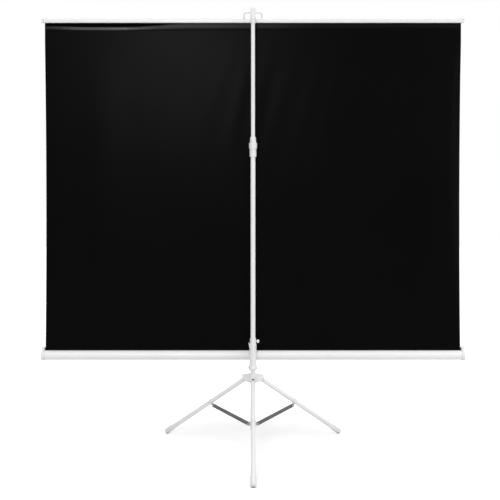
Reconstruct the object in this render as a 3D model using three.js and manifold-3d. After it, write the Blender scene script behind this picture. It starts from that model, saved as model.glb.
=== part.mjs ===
// Tripod projection screen: a spring-roller case on a telescoping mast that stands on three braced legs.
// Millimetres, +Z up. The mast axis is the vertical through X = 0; the viewing side of the sheet faces +Y.
import * as THREE from "three";
import { mergeVertices } from "three/addons/utils/BufferGeometryUtils.js";
import Module from "manifold-3d";

const wasm = await Module();
wasm.setup();

// Clearances.
const FIT = 0.3; // between pieces that touch
const WELD = 1e-4; // vertices closer than this are one
const PAST = 1; // how far a cutter runs past what it cuts

// Facets round a full turn.
const ROUND = 32;
const ROUND_MID = 24;
const ROUND_PIN = 12;
const ROUND_WIRE = 6;

// Steps along a drawn arc.
const CASE_STEPS = 40;
const EYE_STEPS = 8;
const HUB_STEPS = 6;
const CORNER_STEPS = 4;
const LOBE_STEPS = 4;

// Mast.
const MAST_R = 12;
const MAST_WALL = 1.2;
const MAST_BOTTOM_Z = 100;
const MAST_TOP_Z = 1486;
const INNER_R = 10;
const INNER_WALL = 1.2;
const INNER_BOTTOM_Z = 1060;
const INNER_TOP_Z = 2132;
const PLUG_FLANGE = 8;
const PLUG_SPIGOT = 26;
const BUSH_FLANGE = 9;

// Mast lock: fixed sleeve, split collet and twist ring.
const LOCK_SLEEVE_R = 17;
const LOCK_SLEEVE_DROP = 39; // from the outer tube's top down to the sleeve's foot
const LOCK_RING_RISE = 3; // from the outer tube's top up to the ring
const LOCK_RING_R = 20.5;
const LOCK_RING_HEIGHT = 27;
const LOCK_NOSE_HEIGHT = 30;
const LOCK_NOSE_R = 15.6;
const LOCK_NOSE_TIP_R = 14.4;
const LOCK_SPIGOT_R = 13.4;
const LOCK_SPIGOT_HEIGHT = 20;
const LOCK_FLUTES = 14;
const LOCK_FLUTE_DEPTH = 0.8;
const COLLET_HEIGHT = 20;
const COLLET_R = 12.9;
const COLLET_SPLIT = 2;

// Mast head with the hook for the pull handle.
const HEAD_R = 13.2;
const HEAD_SKIRT = 22; // below the inner tube's top
const HEAD_CROWN = 12; // above it
const HOOK_WIDTH = 26;
const HOOK_PLATE_Y = 5;
const HOOK_PLATE = 6;
const HOOK_HEIGHT = 43; // heights over the head's top
const HOOK_ARM = 6;
const HOOK_VALLEY = 18;
const HOOK_LIP_HEIGHT = 29;
const HOOK_LIP_Y = 27;
const HOOK_LIP = 4.5;
const HOOK_CORNER = 4;
const HEAD_SCREW_R = 1.8;
const HEAD_SCREW_HEAD_R = 3.6;
const HEAD_SCREW_DROP = 6; // below the inner tube's top

// Sliding hub and leg hinges.
const HUB_BELOW = 13; // from the hinges down to the hub's foot
const HUB_ABOVE = 33; // and up to its top
const HUB_SLEEVE_R = 17;
const HINGE_R = 46;
const HINGE_Z = 343;
const EAR_WIDTH = 22;
const EAR_SLOT = 11;
const EAR_REACH = 10;
const EAR_CORNER = 5;
const EAR_RISE = 23; // from a hinge up to the top of its ear's tip
const PIN_R = 2.5;
const PIN_HEAD_R = 4.6;
const PIN_HEAD = 1.6;
const PIN_CROWN = 0.7; // share of a rivet head's radius that is flat on top
const PIN_EDGE = 0.4; // share of its height that stands straight

// Legs.
const LEG_TILT = THREE.MathUtils.degToRad(34.9);
const LEG_R = 10.5;
const LEG_WALL = 1.2;
const LEG_START = 14.4;
const LEG_PLUG_DEPTH = 34;
const FOOT_R = 13.4;
const FOOT_LENGTH = 48;
const FOOT_END = 9;
const FOOT_ROUND = 4;
const FOOT_SOLE = 2.6; // how far the lowest corner is cut flat

// Braces.
const BRACE_ALONG = 244;
const BRACE_BELOW = 22;
const CLIP_WIDTH = 14;
const CLIP_WALL = 2;
const LUG_THICK = 4; // plates that the braces straddle
const BRACE_WALL = 1.6;
const BRACE_WIDTH = 16;
const BRACE_MOUTH = 20; // from a pin to the end of the brace's web
const BRACE_PIN_R = 2.2;
const BRACE_PIN_HEAD_R = 4;
const COLLAR_RISE = 13; // from the mast's lower end
const COLLAR_HEIGHT = 25;
const COLLAR_R = 16.5;
const COLLAR_PIVOT_R = 26;
const COLLAR_PIVOT_RISE = 8; // from the collar's foot
const COLLAR_EAR_R = 5.5;

// Carrier that holds the case on the mast.
const CARRIER_FOOT_DROP = 59; // below the case's axis
const CARRIER_FLARE_DROP = 48;
const CARRIER_WAIST_DROP = 37;
const CARRIER_SHOULDER = 63; // above the case's axis
const CARRIER_NECK = 74;
const CARRIER_TOP = 97;
const CARRIER_FOOT_R = 19;
const CARRIER_FLARE_R = 23.5;
const CARRIER_R = 17.6;
const CARRIER_NECK_R = 15;
const BOSS_R = 15;
const BOSS_FACE_Y = 26;
const BOLT_R = 5;
const BOLT_HEAD_R = 8;
const BOLT_HEAD = 3;
const BOLT_HEAD_Y = 13.2;
const SADDLE_WIDTH = 34;
const SADDLE_HEIGHT = 30;
const SADDLE_FAR_Y = 43;
const KNOB_RISE = 81; // above the case's axis
const KNOB_X = 19;
const KNOB_R = 8;
const KNOB_DEPTH = 11;
const KNOB_LOBES = 7;
const KNOB_LOBE_DEPTH = 0.8;
const STUD_R = 3;
const TRIGGER_X = -15.4;
const TRIGGER_RISE = 46; // above the case's axis
const TRIGGER_EYE_R = 2.3;
const TRIGGER_PIN_R = 1.1;
const TRIGGER_WIDTH = 8;
const TRIGGER_TIP_X = -22;
const TRIGGER_LENGTH = 28;
const TRIGGER_THICK = 3.6;
const TRIGGER_WINDOW_DROP = 7; // below the trigger's pivot
const TRIGGER_WINDOW_HEIGHT = 40;
const LEAF_THICK = 0.5;
const LEAF_WIDTH = 5;

// Case.
const CASE_NEAR_Y = 36.5;
const CASE_R = 23.5;
const CASE_WALL = 1.2;
const CASE_Z = 453;
const CASE_ROOM = 8; // from the roller's end to the case's end
const SLOT_FROM = THREE.MathUtils.degToRad(65);
const SLOT_TO = THREE.MathUtils.degToRad(88);
const CAP_LENGTH = 13;
const CAP_R = 26;
const CAP_RISE = 43; // above the case's axis
const CAP_FIN = 9;
const CAP_RING = 2.5;
const CAP_RING_DEPTH = 9;
const SEAL_THICK = 1.4;
const SEAL_RISE = 37; // above the case's axis
const SEAL_DEPTH = 16;

// Spring roller.
const ROLLER_SHIFT = 4; // how far the roller sits towards the mast from the case's centre
const ROLLER_R = 9;
const ROLLER_WALL = 1.2;
const ROLLER_FLANGE = 3.5;
const ROLLER_SPIGOT = 24;
const SHAFT_R = 3;
const SHAFT_PAST = 60; // how far the fixed shaft runs on past its spring
const IDLE_LENGTH = 46;
const SPRING_WIRE = 0.7;
const SPRING_TURNS = 16;
const SPRING_LENGTH = 300;
const SPRING_GAP = 17.5; // from the roller's plug to its spring
const ROLL_WRAP = 0.9;

// Sheet.
const SHEET_THICK = 0.5;
const SHEET_HALF = 1040; // half the sheet's width at the roller
const SHEET_SPREAD = 5.5; // how much wider each side is at the slat
const SHEET_DRAWN_IN = 5.75; // how far each edge is drawn in at mid-height
const SHEET_EDGE_STEPS = 14;

// Top slat and pull handle.
const SLAT_DROP = 38; // from the hook's valley down to the slat's underside
const SLAT_HEIGHT = 21;
const SLAT_DEPTH = 18;
const SLAT_CORNER = 6;
const SLAT_OVERHANG = 6.5; // from the sheet's edge to the slat's end
const SLAT_CAP = 10;
const SLAT_CAP_PROUD = 0.7;
const SLAT_PEG = 5;
const SLAT_MOUTH = 2.2;
const SLAT_WALL = 1.6;
const HEM_ROD_R = 4;
const HANDLE_HALF = 44;
const HANDLE_WIRE = 3;
const HANDLE_BAR_Y = 21;
const HANDLE_CORNER = 14;
const HANDLE_FOOT_R = 5.5;
const HANDLE_FOOT = 3;
const HANDLE_STEPS = 36;

// Derived positions.
const LOCK_SLEEVE_Z = MAST_TOP_Z - LOCK_SLEEVE_DROP;
const LOCK_RING_Z = MAST_TOP_Z + LOCK_RING_RISE;
const HEAD_SKIRT_Z = INNER_TOP_Z - HEAD_SKIRT;
const HEAD_TOP_Z = INNER_TOP_Z + HEAD_CROWN;
const HEAD_SCREW_Z = INNER_TOP_Z - HEAD_SCREW_DROP;
const HOOK_TOP_Z = HEAD_TOP_Z + HOOK_HEIGHT;
const HOOK_ARM_Z = HEAD_TOP_Z + HOOK_ARM;
const HOOK_VALLEY_Z = HEAD_TOP_Z + HOOK_VALLEY;
const HOOK_LIP_Z = HEAD_TOP_Z + HOOK_LIP_HEIGHT;
const SLAT_BOTTOM_Z = HOOK_VALLEY_Z - SLAT_DROP;
const HUB_BOTTOM_Z = HINGE_Z - HUB_BELOW;
const HUB_TOP_Z = HINGE_Z + HUB_ABOVE;
const EAR_TOP_Z = HINGE_Z + EAR_RISE;
const COLLAR_BOTTOM_Z = MAST_BOTTOM_Z + COLLAR_RISE;
const COLLAR_TOP_Z = COLLAR_BOTTOM_Z + COLLAR_HEIGHT;
const COLLAR_PIVOT_Z = COLLAR_BOTTOM_Z + COLLAR_PIVOT_RISE;
const CARRIER_BOTTOM_Z = CASE_Z - CARRIER_FOOT_DROP;
const CARRIER_FLARE_Z = CASE_Z - CARRIER_FLARE_DROP;
const CARRIER_WAIST_Z = CASE_Z - CARRIER_WAIST_DROP;
const CARRIER_SHOULDER_Z = CASE_Z + CARRIER_SHOULDER;
const CARRIER_NECK_Z = CASE_Z + CARRIER_NECK;
const CARRIER_TOP_Z = CASE_Z + CARRIER_TOP;
const KNOB_Z = CASE_Z + KNOB_RISE;
const TRIGGER_Z = CASE_Z + TRIGGER_RISE;
const TRIGGER_TIP_Z = TRIGGER_Z + TRIGGER_LENGTH;
const TRIGGER_WINDOW_Z = TRIGGER_Z - TRIGGER_WINDOW_DROP;
const CAP_TOP_Z = CASE_Z + CAP_RISE;
const SEAL_TOP_Z = CASE_Z + SEAL_RISE;
const LOCK_RING_TOP_Z = LOCK_RING_Z + LOCK_RING_HEIGHT;
const LOCK_TOP_Z = LOCK_RING_TOP_Z + LOCK_NOSE_HEIGHT;
const CASE_Y = CASE_NEAR_Y + CASE_R;
const ROLLER_HALF = SHEET_HALF;
const CASE_HALF = ROLLER_HALF + CASE_ROOM;
const SHEET_TOP_HALF = SHEET_HALF + SHEET_SPREAD;
const SLAT_HALF = SHEET_TOP_HALF + SLAT_OVERHANG;
const SPRING_START = ROLLER_SPIGOT + SPRING_GAP - ROLLER_HALF;
const SPRING_R = (SHAFT_R + FIT + SPRING_WIRE) / Math.cos(Math.PI / ROUND_WIRE);
const ROLLER_Y = CASE_Y - ROLLER_SHIFT;
const ROLL_OUT_R = ROLLER_R + FIT + ROLL_WRAP;
const SHEET_Y = ROLLER_Y + ROLL_OUT_R + FIT + SHEET_THICK / 2;
const SLAT_TOP_Z = SLAT_BOTTOM_Z + SLAT_HEIGHT;
const HEM_ROD_Z = SLAT_BOTTOM_Z + SLAT_WALL + FIT + HEM_ROD_R;
const HANDLE_BAR_Z = HOOK_VALLEY_Z + HANDLE_WIRE + FIT;
const LEG_DIRECTION = new THREE.Vector2(Math.cos(LEG_TILT), -Math.sin(LEG_TILT));
const FOOT_LIFT = FOOT_R * Math.cos(LEG_TILT) - FOOT_SOLE;
const LEG_END = (HINGE_Z - FOOT_LIFT) / Math.sin(LEG_TILT);
const LEG_TUBE_END = LEG_END - FOOT_END - FIT;
const BRACE_TOP_R = HINGE_R + BRACE_ALONG * LEG_DIRECTION.x - BRACE_BELOW * Math.sin(LEG_TILT);
const BRACE_TOP_Z = HINGE_Z + BRACE_ALONG * LEG_DIRECTION.y - BRACE_BELOW * Math.cos(LEG_TILT);
const BRACE_LENGTH = Math.hypot(BRACE_TOP_R - COLLAR_PIVOT_R, BRACE_TOP_Z - COLLAR_PIVOT_Z);
const BRACE_TILT = Math.atan2(BRACE_TOP_Z - COLLAR_PIVOT_Z, BRACE_TOP_R - COLLAR_PIVOT_R);
const LEG_AZIMUTHS = { front: -90, left: 150, right: 30 };

// Finishes.
const paint = (name, color, roughness, metalness) =>
  Object.assign(new THREE.MeshStandardMaterial({ color, roughness, metalness }), { name });
const WHITE_METAL = paint("white_enamel", 0xe9e9e7, 0.35, 0.1);
const WHITE_PLASTIC = paint("white_plastic", 0xe4e4e2, 0.5, 0);
const GREY_METAL = paint("grey_metal", 0x6b6d70, 0.4, 0.7);
const STEEL = paint("steel", 0xb5b7ba, 0.3, 0.9);
const ALUMINIUM = paint("aluminium", 0xc4c6c8, 0.35, 0.9);
const BLACK_SHEET = paint("black_sheet", 0x141416, 0.7, 0);
const BLACK_FELT = paint("black_felt", 0x0c0c0d, 0.95, 0);

const screen = new THREE.Group();
screen.name = "tripod_projection_screen";

// Geometry helpers.

// A closed three.js geometry as a solid with its faces pointing out.
function solid(geometry) {
  const bare = geometry.clone();
  bare.deleteAttribute("normal");
  bare.deleteAttribute("uv");
  const merged = mergeVertices(bare, WELD);
  const index = merged.index.array;
  const corners = [];
  for (let i = 0; i < index.length; i += 3) {
    const [a, b, c] = [index[i], index[i + 1], index[i + 2]];
    if (a !== b && b !== c && c !== a) corners.push(a, b, c);
  }
  const build = (triVerts) =>
    new wasm.Manifold(
      new wasm.Mesh({
        numProp: 3,
        vertProperties: new Float32Array(merged.attributes.position.array),
        triVerts: new Uint32Array(triVerts),
      }),
    );
  const made = build(corners);
  if (made.volume() > 0) return made;
  return build(corners.reverse());
}

// A solid back as a named mesh of the screen.
function add(name, body, material) {
  const data = body.getMesh();
  const stride = data.numProp;
  const points = new Float32Array(data.numVert * 3);
  for (let i = 0; i < data.numVert; i += 1) {
    points.set(data.vertProperties.subarray(i * stride, i * stride + 3), i * 3);
  }
  const geometry = new THREE.BufferGeometry();
  geometry.setAttribute("position", new THREE.BufferAttribute(points, 3));
  geometry.setIndex(new THREE.BufferAttribute(new Uint32Array(data.triVerts), 1));
  const flat = geometry.toNonIndexed();
  flat.computeVertexNormals();
  const mesh = new THREE.Mesh(flat, material);
  mesh.name = name;
  screen.add(mesh);
  return mesh;
}

const join = (...bodies) => wasm.Manifold.union(bodies);
const cut = (body, ...tools) => wasm.Manifold.difference([body, ...tools]);

// Turns [radius, height] points round +Z. A profile that stays off the axis is closed into a ring.
function turned(profile, facets = ROUND) {
  const points = profile.map(([r, z]) => new THREE.Vector2(r, z));
  if (profile[0][0] > 0) points.push(points[0].clone());
  return new THREE.LatheGeometry(points, facets).rotateX(Math.PI / 2);
}

// A ring between two radii and two heights.
const tube = (inner, outer, low, high, facets = ROUND) =>
  turned([[inner, low], [outer, low], [outer, high], [inner, high]], facets);

// A rod on +Z between two heights.
const rod = (radius, low, high, facets = ROUND) =>
  turned([[0, low], [radius, low], [radius, high], [0, high]], facets);

// A closed outline pushed out along its third axis.
function pushed(points, depth) {
  const shape = new THREE.Shape(points.map(([x, y]) => new THREE.Vector2(x, y)));
  return new THREE.ExtrudeGeometry(shape, { depth, bevelEnabled: false, steps: 1 });
}

// A box between two corners.
function block(low, high) {
  const size = high.map((v, i) => v - low[i]);
  const centre = high.map((v, i) => (v + low[i]) / 2);
  return new THREE.BoxGeometry(...size).translate(...centre);
}

// An outline drawn in (Y, Z) and pushed from one X to another.
function alongX(points, from, to) {
  const turn = new THREE.Matrix4().makeBasis(
    new THREE.Vector3(0, 1, 0),
    new THREE.Vector3(0, 0, 1),
    new THREE.Vector3(1, 0, 0),
  );
  return pushed(points, to - from).applyMatrix4(turn).translate(from, 0, 0);
}

// An outline drawn in (X, Z) and pushed from one Y to another.
function alongY(points, from, to) {
  const turn = new THREE.Matrix4().makeBasis(
    new THREE.Vector3(1, 0, 0),
    new THREE.Vector3(0, 0, 1),
    new THREE.Vector3(0, -1, 0),
  );
  return pushed(points, to - from).applyMatrix4(turn).translate(0, to, 0);
}

// A shape made on +Z, laid along +X or +Y.
const onX = (geometry) => geometry.rotateY(Math.PI / 2);
const onY = (geometry) => geometry.rotateX(-Math.PI / 2);

// Points on an arc, both ends included.
function arc(cx, cy, radius, from, to, steps) {
  const at = (i) => from + ((to - from) * i) / steps;
  return Array.from({ length: steps + 1 }, (_, i) => [
    cx + radius * Math.cos(at(i)),
    cy + radius * Math.sin(at(i)),
  ]);
}

// A rectangle with rounded corners.
function rounded(x0, y0, x1, y1, radius, steps = CORNER_STEPS) {
  const q = Math.PI / 2;
  return [
    ...arc(x1 - radius, y0 + radius, radius, -q, 0, steps),
    ...arc(x1 - radius, y1 - radius, radius, 0, q, steps),
    ...arc(x0 + radius, y1 - radius, radius, q, 2 * q, steps),
    ...arc(x0 + radius, y0 + radius, radius, 2 * q, 3 * q, steps),
  ];
}

// A wavy round outline for a hand grip.
function lobed(radius, depth, lobes, steps) {
  const count = lobes * steps;
  return Array.from({ length: count }, (_, i) => {
    const a = (2 * Math.PI * i) / count;
    const r = radius - depth * (0.5 + 0.5 * Math.cos(lobes * a));
    return [r * Math.cos(a), r * Math.sin(a)];
  });
}

// A headed pin on +Z, centred, that spans a width between its heads.
function rivet(radius, headRadius, head, width, facets = ROUND_PIN) {
  const half = width / 2 + FIT;
  const profile = [
    [0, -half - head],
    [headRadius * PIN_CROWN, -half - head],
    [headRadius, -half - head * PIN_EDGE],
    [headRadius, -half],
    [radius, -half],
    [radius, half],
    [headRadius, half],
    [headRadius, half + head * PIN_EDGE],
    [headRadius * PIN_CROWN, half + head],
    [0, half + head],
  ];
  return turned(profile, facets);
}

// Mast.

const mastBore = MAST_R - MAST_WALL;
add("outer_mast_tube", solid(tube(mastBore, MAST_R, MAST_BOTTOM_Z, MAST_TOP_Z)), WHITE_METAL);

const plugTop = MAST_BOTTOM_Z - FIT;
const plugProfile = [
  [0, plugTop - PLUG_FLANGE],
  [MAST_R - FOOT_ROUND / 2, plugTop - PLUG_FLANGE],
  [MAST_R, plugTop - PLUG_FLANGE + FOOT_ROUND / 2],
  [MAST_R, plugTop],
  [mastBore - FIT, plugTop],
  [mastBore - FIT, plugTop + PLUG_SPIGOT],
  [0, plugTop + PLUG_SPIGOT],
];
add("mast_foot_plug", solid(turned(plugProfile, ROUND_MID)), WHITE_PLASTIC);

const innerBore = INNER_R - INNER_WALL;
add("inner_mast_tube", solid(tube(innerBore, INNER_R, INNER_BOTTOM_Z, INNER_TOP_Z)), WHITE_METAL);

const bushTop = INNER_BOTTOM_Z - FIT;
const bushProfile = [
  [0, bushTop - BUSH_FLANGE],
  [mastBore - FIT, bushTop - BUSH_FLANGE],
  [mastBore - FIT, bushTop],
  [innerBore - FIT, bushTop],
  [innerBore - FIT, bushTop + PLUG_SPIGOT],
  [0, bushTop + PLUG_SPIGOT],
];
add("inner_mast_bush", solid(turned(bushProfile, ROUND_MID)), WHITE_PLASTIC);

// Mast lock.

const spigotTop = LOCK_RING_Z + LOCK_SPIGOT_HEIGHT;
const sleeveProfile = [
  [MAST_R + FIT, LOCK_SLEEVE_Z],
  [LOCK_SLEEVE_R - FOOT_ROUND / 4, LOCK_SLEEVE_Z],
  [LOCK_SLEEVE_R, LOCK_SLEEVE_Z + FOOT_ROUND / 4],
  [LOCK_SLEEVE_R, LOCK_RING_Z - FIT],
  [LOCK_SPIGOT_R, LOCK_RING_Z - FIT],
  [LOCK_SPIGOT_R, spigotTop],
  [INNER_R + FIT, spigotTop],
  [INNER_R + FIT, MAST_TOP_Z + FIT],
  [MAST_R + FIT, MAST_TOP_Z + FIT],
];
add("lock_sleeve", solid(turned(sleeveProfile, ROUND_MID)), WHITE_PLASTIC);

const colletBottom = spigotTop + FIT;
const colletTop = colletBottom + COLLET_HEIGHT;
const colletRing = solid(tube(INNER_R + FIT, COLLET_R, colletBottom, colletTop, ROUND_MID));
const colletGap = solid(
  block([0, -COLLET_SPLIT / 2, colletBottom - PAST], [COLLET_R + PAST, COLLET_SPLIT / 2, colletTop + PAST]),
);
add("lock_collet", cut(colletRing, colletGap), WHITE_PLASTIC);

const gripOutline = lobed(LOCK_RING_R, LOCK_FLUTE_DEPTH, LOCK_FLUTES, LOBE_STEPS);
const grip = solid(pushed(gripOutline, LOCK_RING_HEIGHT).translate(0, 0, LOCK_RING_Z));
const noseProfile = [
  [0, LOCK_RING_TOP_Z - PAST],
  [LOCK_NOSE_R, LOCK_RING_TOP_Z - PAST],
  [LOCK_NOSE_R, LOCK_RING_TOP_Z],
  [LOCK_NOSE_TIP_R, LOCK_TOP_Z - FOOT_ROUND / 2],
  [LOCK_NOSE_TIP_R - FOOT_ROUND / 2, LOCK_TOP_Z],
  [0, LOCK_TOP_Z],
];
const ringCavity = solid(rod(LOCK_SPIGOT_R + FIT, LOCK_RING_Z - PAST, colletTop + FIT));
const ringBore = solid(rod(INNER_R + FIT, LOCK_RING_Z - PAST, LOCK_TOP_Z + PAST));
const lockRing = cut(join(grip, solid(turned(noseProfile))), ringCavity, ringBore);
add("lock_ring", lockRing, WHITE_PLASTIC);

// Mast head and hook.

const headProfile = [
  [INNER_R + FIT, HEAD_SKIRT_Z],
  [HEAD_R, HEAD_SKIRT_Z],
  [HEAD_R, HEAD_TOP_Z - FOOT_ROUND / 2],
  [HEAD_R - FOOT_ROUND / 2, HEAD_TOP_Z],
  [0, HEAD_TOP_Z],
  [0, INNER_TOP_Z + FIT],
  [INNER_R + FIT, INNER_TOP_Z + FIT],
];
// Closed by the axis on one side, so its last point returns to its first.
const headSkirt = new THREE.LatheGeometry(
  [...headProfile, headProfile[0]].map(([r, z]) => new THREE.Vector2(r, z)),
  ROUND,
).rotateX(Math.PI / 2);
const hookOuterY = HOOK_LIP_Y + HOOK_LIP;
const hookOutline = [
  [HOOK_PLATE_Y, HEAD_TOP_Z - FOOT_ROUND],
  [HOOK_PLATE_Y + HOOK_PLATE, HEAD_TOP_Z - FOOT_ROUND],
  [hookOuterY - HOOK_CORNER, HOOK_ARM_Z],
  [hookOuterY, HOOK_ARM_Z + HOOK_CORNER],
  [hookOuterY, HOOK_LIP_Z],
  [HOOK_LIP_Y, HOOK_LIP_Z],
  [HOOK_LIP_Y, HOOK_VALLEY_Z],
  [HOOK_PLATE_Y + HOOK_PLATE, HOOK_VALLEY_Z],
  [HOOK_PLATE_Y + HOOK_PLATE, HOOK_TOP_Z],
  [HOOK_PLATE_Y, HOOK_TOP_Z],
];
const hook = solid(alongX(hookOutline, -HOOK_WIDTH / 2, HOOK_WIDTH / 2));
const screwHole = solid(onY(rod(HEAD_SCREW_R + FIT, 0, HEAD_R + PAST, ROUND_PIN)));
const headHole = screwHole.rotate([0, 0, 180]).translate([0, 0, HEAD_SCREW_Z]);
add("mast_head", cut(join(solid(headSkirt), hook), headHole), WHITE_PLASTIC);

const screwProfile = [
  [0, INNER_R + FIT],
  [HEAD_SCREW_R, INNER_R + FIT],
  [HEAD_SCREW_R, HEAD_R + FIT],
  [HEAD_SCREW_HEAD_R, HEAD_R + FIT],
  [HEAD_SCREW_HEAD_R - FIT, HEAD_R + PIN_HEAD],
  [0, HEAD_R + PIN_HEAD],
];
const headScrew = solid(onY(turned(screwProfile, ROUND_PIN)));
add("head_screw", headScrew.rotate([0, 0, 180]).translate([0, 0, HEAD_SCREW_Z]), STEEL);

// Hub.

const earTip = HINGE_R + EAR_REACH;
const q = Math.PI / 2;
const earOutline = [
  [0, HUB_BOTTOM_Z],
  [HUB_SLEEVE_R, HUB_BOTTOM_Z],
  ...arc(HINGE_R, HINGE_Z, EAR_REACH, -q, 0, HUB_STEPS),
  ...arc(earTip - EAR_CORNER, EAR_TOP_Z - EAR_CORNER, EAR_CORNER, 0, q, CORNER_STEPS),
  [HUB_SLEEVE_R, HUB_TOP_Z],
  [0, HUB_TOP_Z],
];
const hubSleeve = solid(rod(HUB_SLEEVE_R, HUB_BOTTOM_Z, HUB_TOP_Z, ROUND_MID));
const hubBore = solid(rod(MAST_R + FIT, HUB_BOTTOM_Z - PAST, HUB_TOP_Z + PAST, ROUND_MID));
const ear = solid(alongY(earOutline, -EAR_WIDTH / 2, EAR_WIDTH / 2));
const earSlot = solid(
  block(
    [HUB_SLEEVE_R + PAST, -EAR_SLOT / 2, HUB_BOTTOM_Z - PAST],
    [earTip + PAST, EAR_SLOT / 2, EAR_TOP_Z - EAR_CORNER],
  ),
);
const pinHole = solid(onY(rod(PIN_R + FIT, -EAR_WIDTH, EAR_WIDTH, ROUND_PIN)));
const hingeHole = pinHole.translate([HINGE_R, 0, HINGE_Z]);
const oneEar = cut(ear, earSlot, hingeHole);
const earsAround = Object.values(LEG_AZIMUTHS).map((degrees) => oneEar.rotate([0, 0, degrees]));
add("hub_body", cut(join(hubSleeve, ...earsAround), hubBore), WHITE_PLASTIC);

// Lower collar.

const braceGap = LUG_THICK / 2 + FIT;
const braceHalf = braceGap + BRACE_WALL;
const collarEarOutline = [
  [0, COLLAR_PIVOT_Z - COLLAR_EAR_R],
  ...arc(COLLAR_PIVOT_R, COLLAR_PIVOT_Z, COLLAR_EAR_R, -q, q, EYE_STEPS),
  [0, COLLAR_PIVOT_Z + COLLAR_EAR_R],
];
const collarEar = solid(alongY(collarEarOutline, -LUG_THICK / 2, LUG_THICK / 2));
const bracePinHole = solid(onY(rod(BRACE_PIN_R + FIT, -braceHalf - PAST, braceHalf + PAST, ROUND_PIN)));
const oneCollarEar = cut(collarEar, bracePinHole.translate([COLLAR_PIVOT_R, 0, COLLAR_PIVOT_Z]));
const collarEars = Object.values(LEG_AZIMUTHS).map((degrees) => oneCollarEar.rotate([0, 0, degrees]));
const collarRing = solid(rod(COLLAR_R, COLLAR_BOTTOM_Z, COLLAR_TOP_Z, ROUND_MID));
const collarBore = solid(rod(MAST_R + FIT, COLLAR_BOTTOM_Z - PAST, COLLAR_TOP_Z + PAST, ROUND_MID));
add("lower_collar", cut(join(collarRing, ...collarEars), collarBore), WHITE_PLASTIC);

// Legs and braces, each built in its own upright plane and turned to its azimuth.

const tiltDegrees = THREE.MathUtils.radToDeg(LEG_TILT);
const braceDegrees = THREE.MathUtils.radToDeg(BRACE_TILT);
const ontoLeg = (body) => body.rotate([0, tiltDegrees, 0]).translate([HINGE_R, 0, HINGE_Z]);

const legTube = ontoLeg(solid(onX(tube(LEG_R - LEG_WALL, LEG_R, LEG_START, LEG_TUBE_END, ROUND_MID))));

const tongueHalf = EAR_SLOT / 2 - FIT;
const tongueReach = EAR_REACH - PAST;
const tongueOutline = [
  ...arc(0, 0, tongueReach, q, 3 * q, EYE_STEPS),
  [LEG_START - FIT, -tongueReach + FIT],
  [LEG_START - FIT, tongueReach - FIT],
];
const plugBore = LEG_R - LEG_WALL - FIT;
const tongue = solid(alongY(tongueOutline, -tongueHalf, tongueHalf));
const plugBody = solid(onX(rod(plugBore, LEG_START - PAST, LEG_START + LEG_PLUG_DEPTH, ROUND_MID)));
const legPlug = ontoLeg(cut(join(tongue, plugBody), pinHole));

const footStart = LEG_END - FOOT_LENGTH;
const footProfile = [
  [0, LEG_TUBE_END + FIT],
  [LEG_R + FIT, LEG_TUBE_END + FIT],
  [LEG_R + FIT, footStart],
  [FOOT_R - FIT, footStart],
  [FOOT_R, footStart + FIT],
  [FOOT_R, LEG_END - FOOT_ROUND / 2],
  [FOOT_R - FOOT_ROUND / 2, LEG_END],
  [0, LEG_END],
];
const floorCut = solid(block([0, -2 * FOOT_R, -2 * FOOT_R], [2 * LEG_END, 2 * FOOT_R, 0]));
const foot = cut(ontoLeg(solid(onX(turned(footProfile, ROUND_MID)))), floorCut);

const clipR = LEG_R + FIT + CLIP_WALL;
const clipFrom = BRACE_ALONG - CLIP_WIDTH / 2;
const clipTo = BRACE_ALONG + CLIP_WIDTH / 2;
const clipRing = solid(onX(rod(clipR, clipFrom, clipTo, ROUND_MID)));
const clipBore = solid(onX(rod(LEG_R + FIT, clipFrom - PAST, clipTo + PAST, ROUND_MID)));
const lugOutline = [
  ...arc(BRACE_ALONG, -BRACE_BELOW, CLIP_WIDTH / 2, -2 * q, 0, EYE_STEPS),
  [clipTo, 0],
  [clipFrom, 0],
];
const lug = solid(alongY(lugOutline, -LUG_THICK / 2, LUG_THICK / 2));
const clipHole = bracePinHole.translate([BRACE_ALONG, 0, -BRACE_BELOW]);
const braceClip = ontoLeg(cut(join(clipRing, lug), clipBore, clipHole));
const bracePinBody = solid(onY(rivet(BRACE_PIN_R, BRACE_PIN_HEAD_R, PIN_HEAD, 2 * braceHalf)));
const braceRivet = ontoLeg(bracePinBody.translate([BRACE_ALONG, 0, -BRACE_BELOW]));

// A brace is a channel: two walls that straddle the lugs, and a web along the underside between its mouths.
const wallOutline = [
  ...arc(BRACE_LENGTH, 0, BRACE_WIDTH / 2, -q, q, EYE_STEPS),
  ...arc(0, 0, BRACE_WIDTH / 2, q, 3 * q, EYE_STEPS),
];
const webFrom = BRACE_MOUTH;
const webTo = BRACE_LENGTH - BRACE_MOUTH;
const webTop = BRACE_WALL - BRACE_WIDTH / 2;
const mouthOutline = [
  [-BRACE_WIDTH, -BRACE_WIDTH],
  [webFrom, -BRACE_WIDTH],
  [webFrom, webTop],
  [webTo, webTop],
  [webTo, -BRACE_WIDTH],
  [BRACE_LENGTH + BRACE_WIDTH, -BRACE_WIDTH],
  [BRACE_LENGTH + BRACE_WIDTH, BRACE_WIDTH],
  [-BRACE_WIDTH, BRACE_WIDTH],
];
const channel = cut(
  solid(alongY(wallOutline, -braceHalf, braceHalf)),
  solid(alongY(mouthOutline, -braceGap, braceGap)),
  bracePinHole,
  bracePinHole.translate([BRACE_LENGTH, 0, 0]),
);
const brace = channel.rotate([0, -braceDegrees, 0]).translate([COLLAR_PIVOT_R, 0, COLLAR_PIVOT_Z]);
const bracePin = bracePinBody.translate([COLLAR_PIVOT_R, 0, COLLAR_PIVOT_Z]);

const hingePinBody = solid(onY(rivet(PIN_R, PIN_HEAD_R, PIN_HEAD, EAR_WIDTH)));
const hingePin = hingePinBody.translate([HINGE_R, 0, HINGE_Z]);

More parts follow.
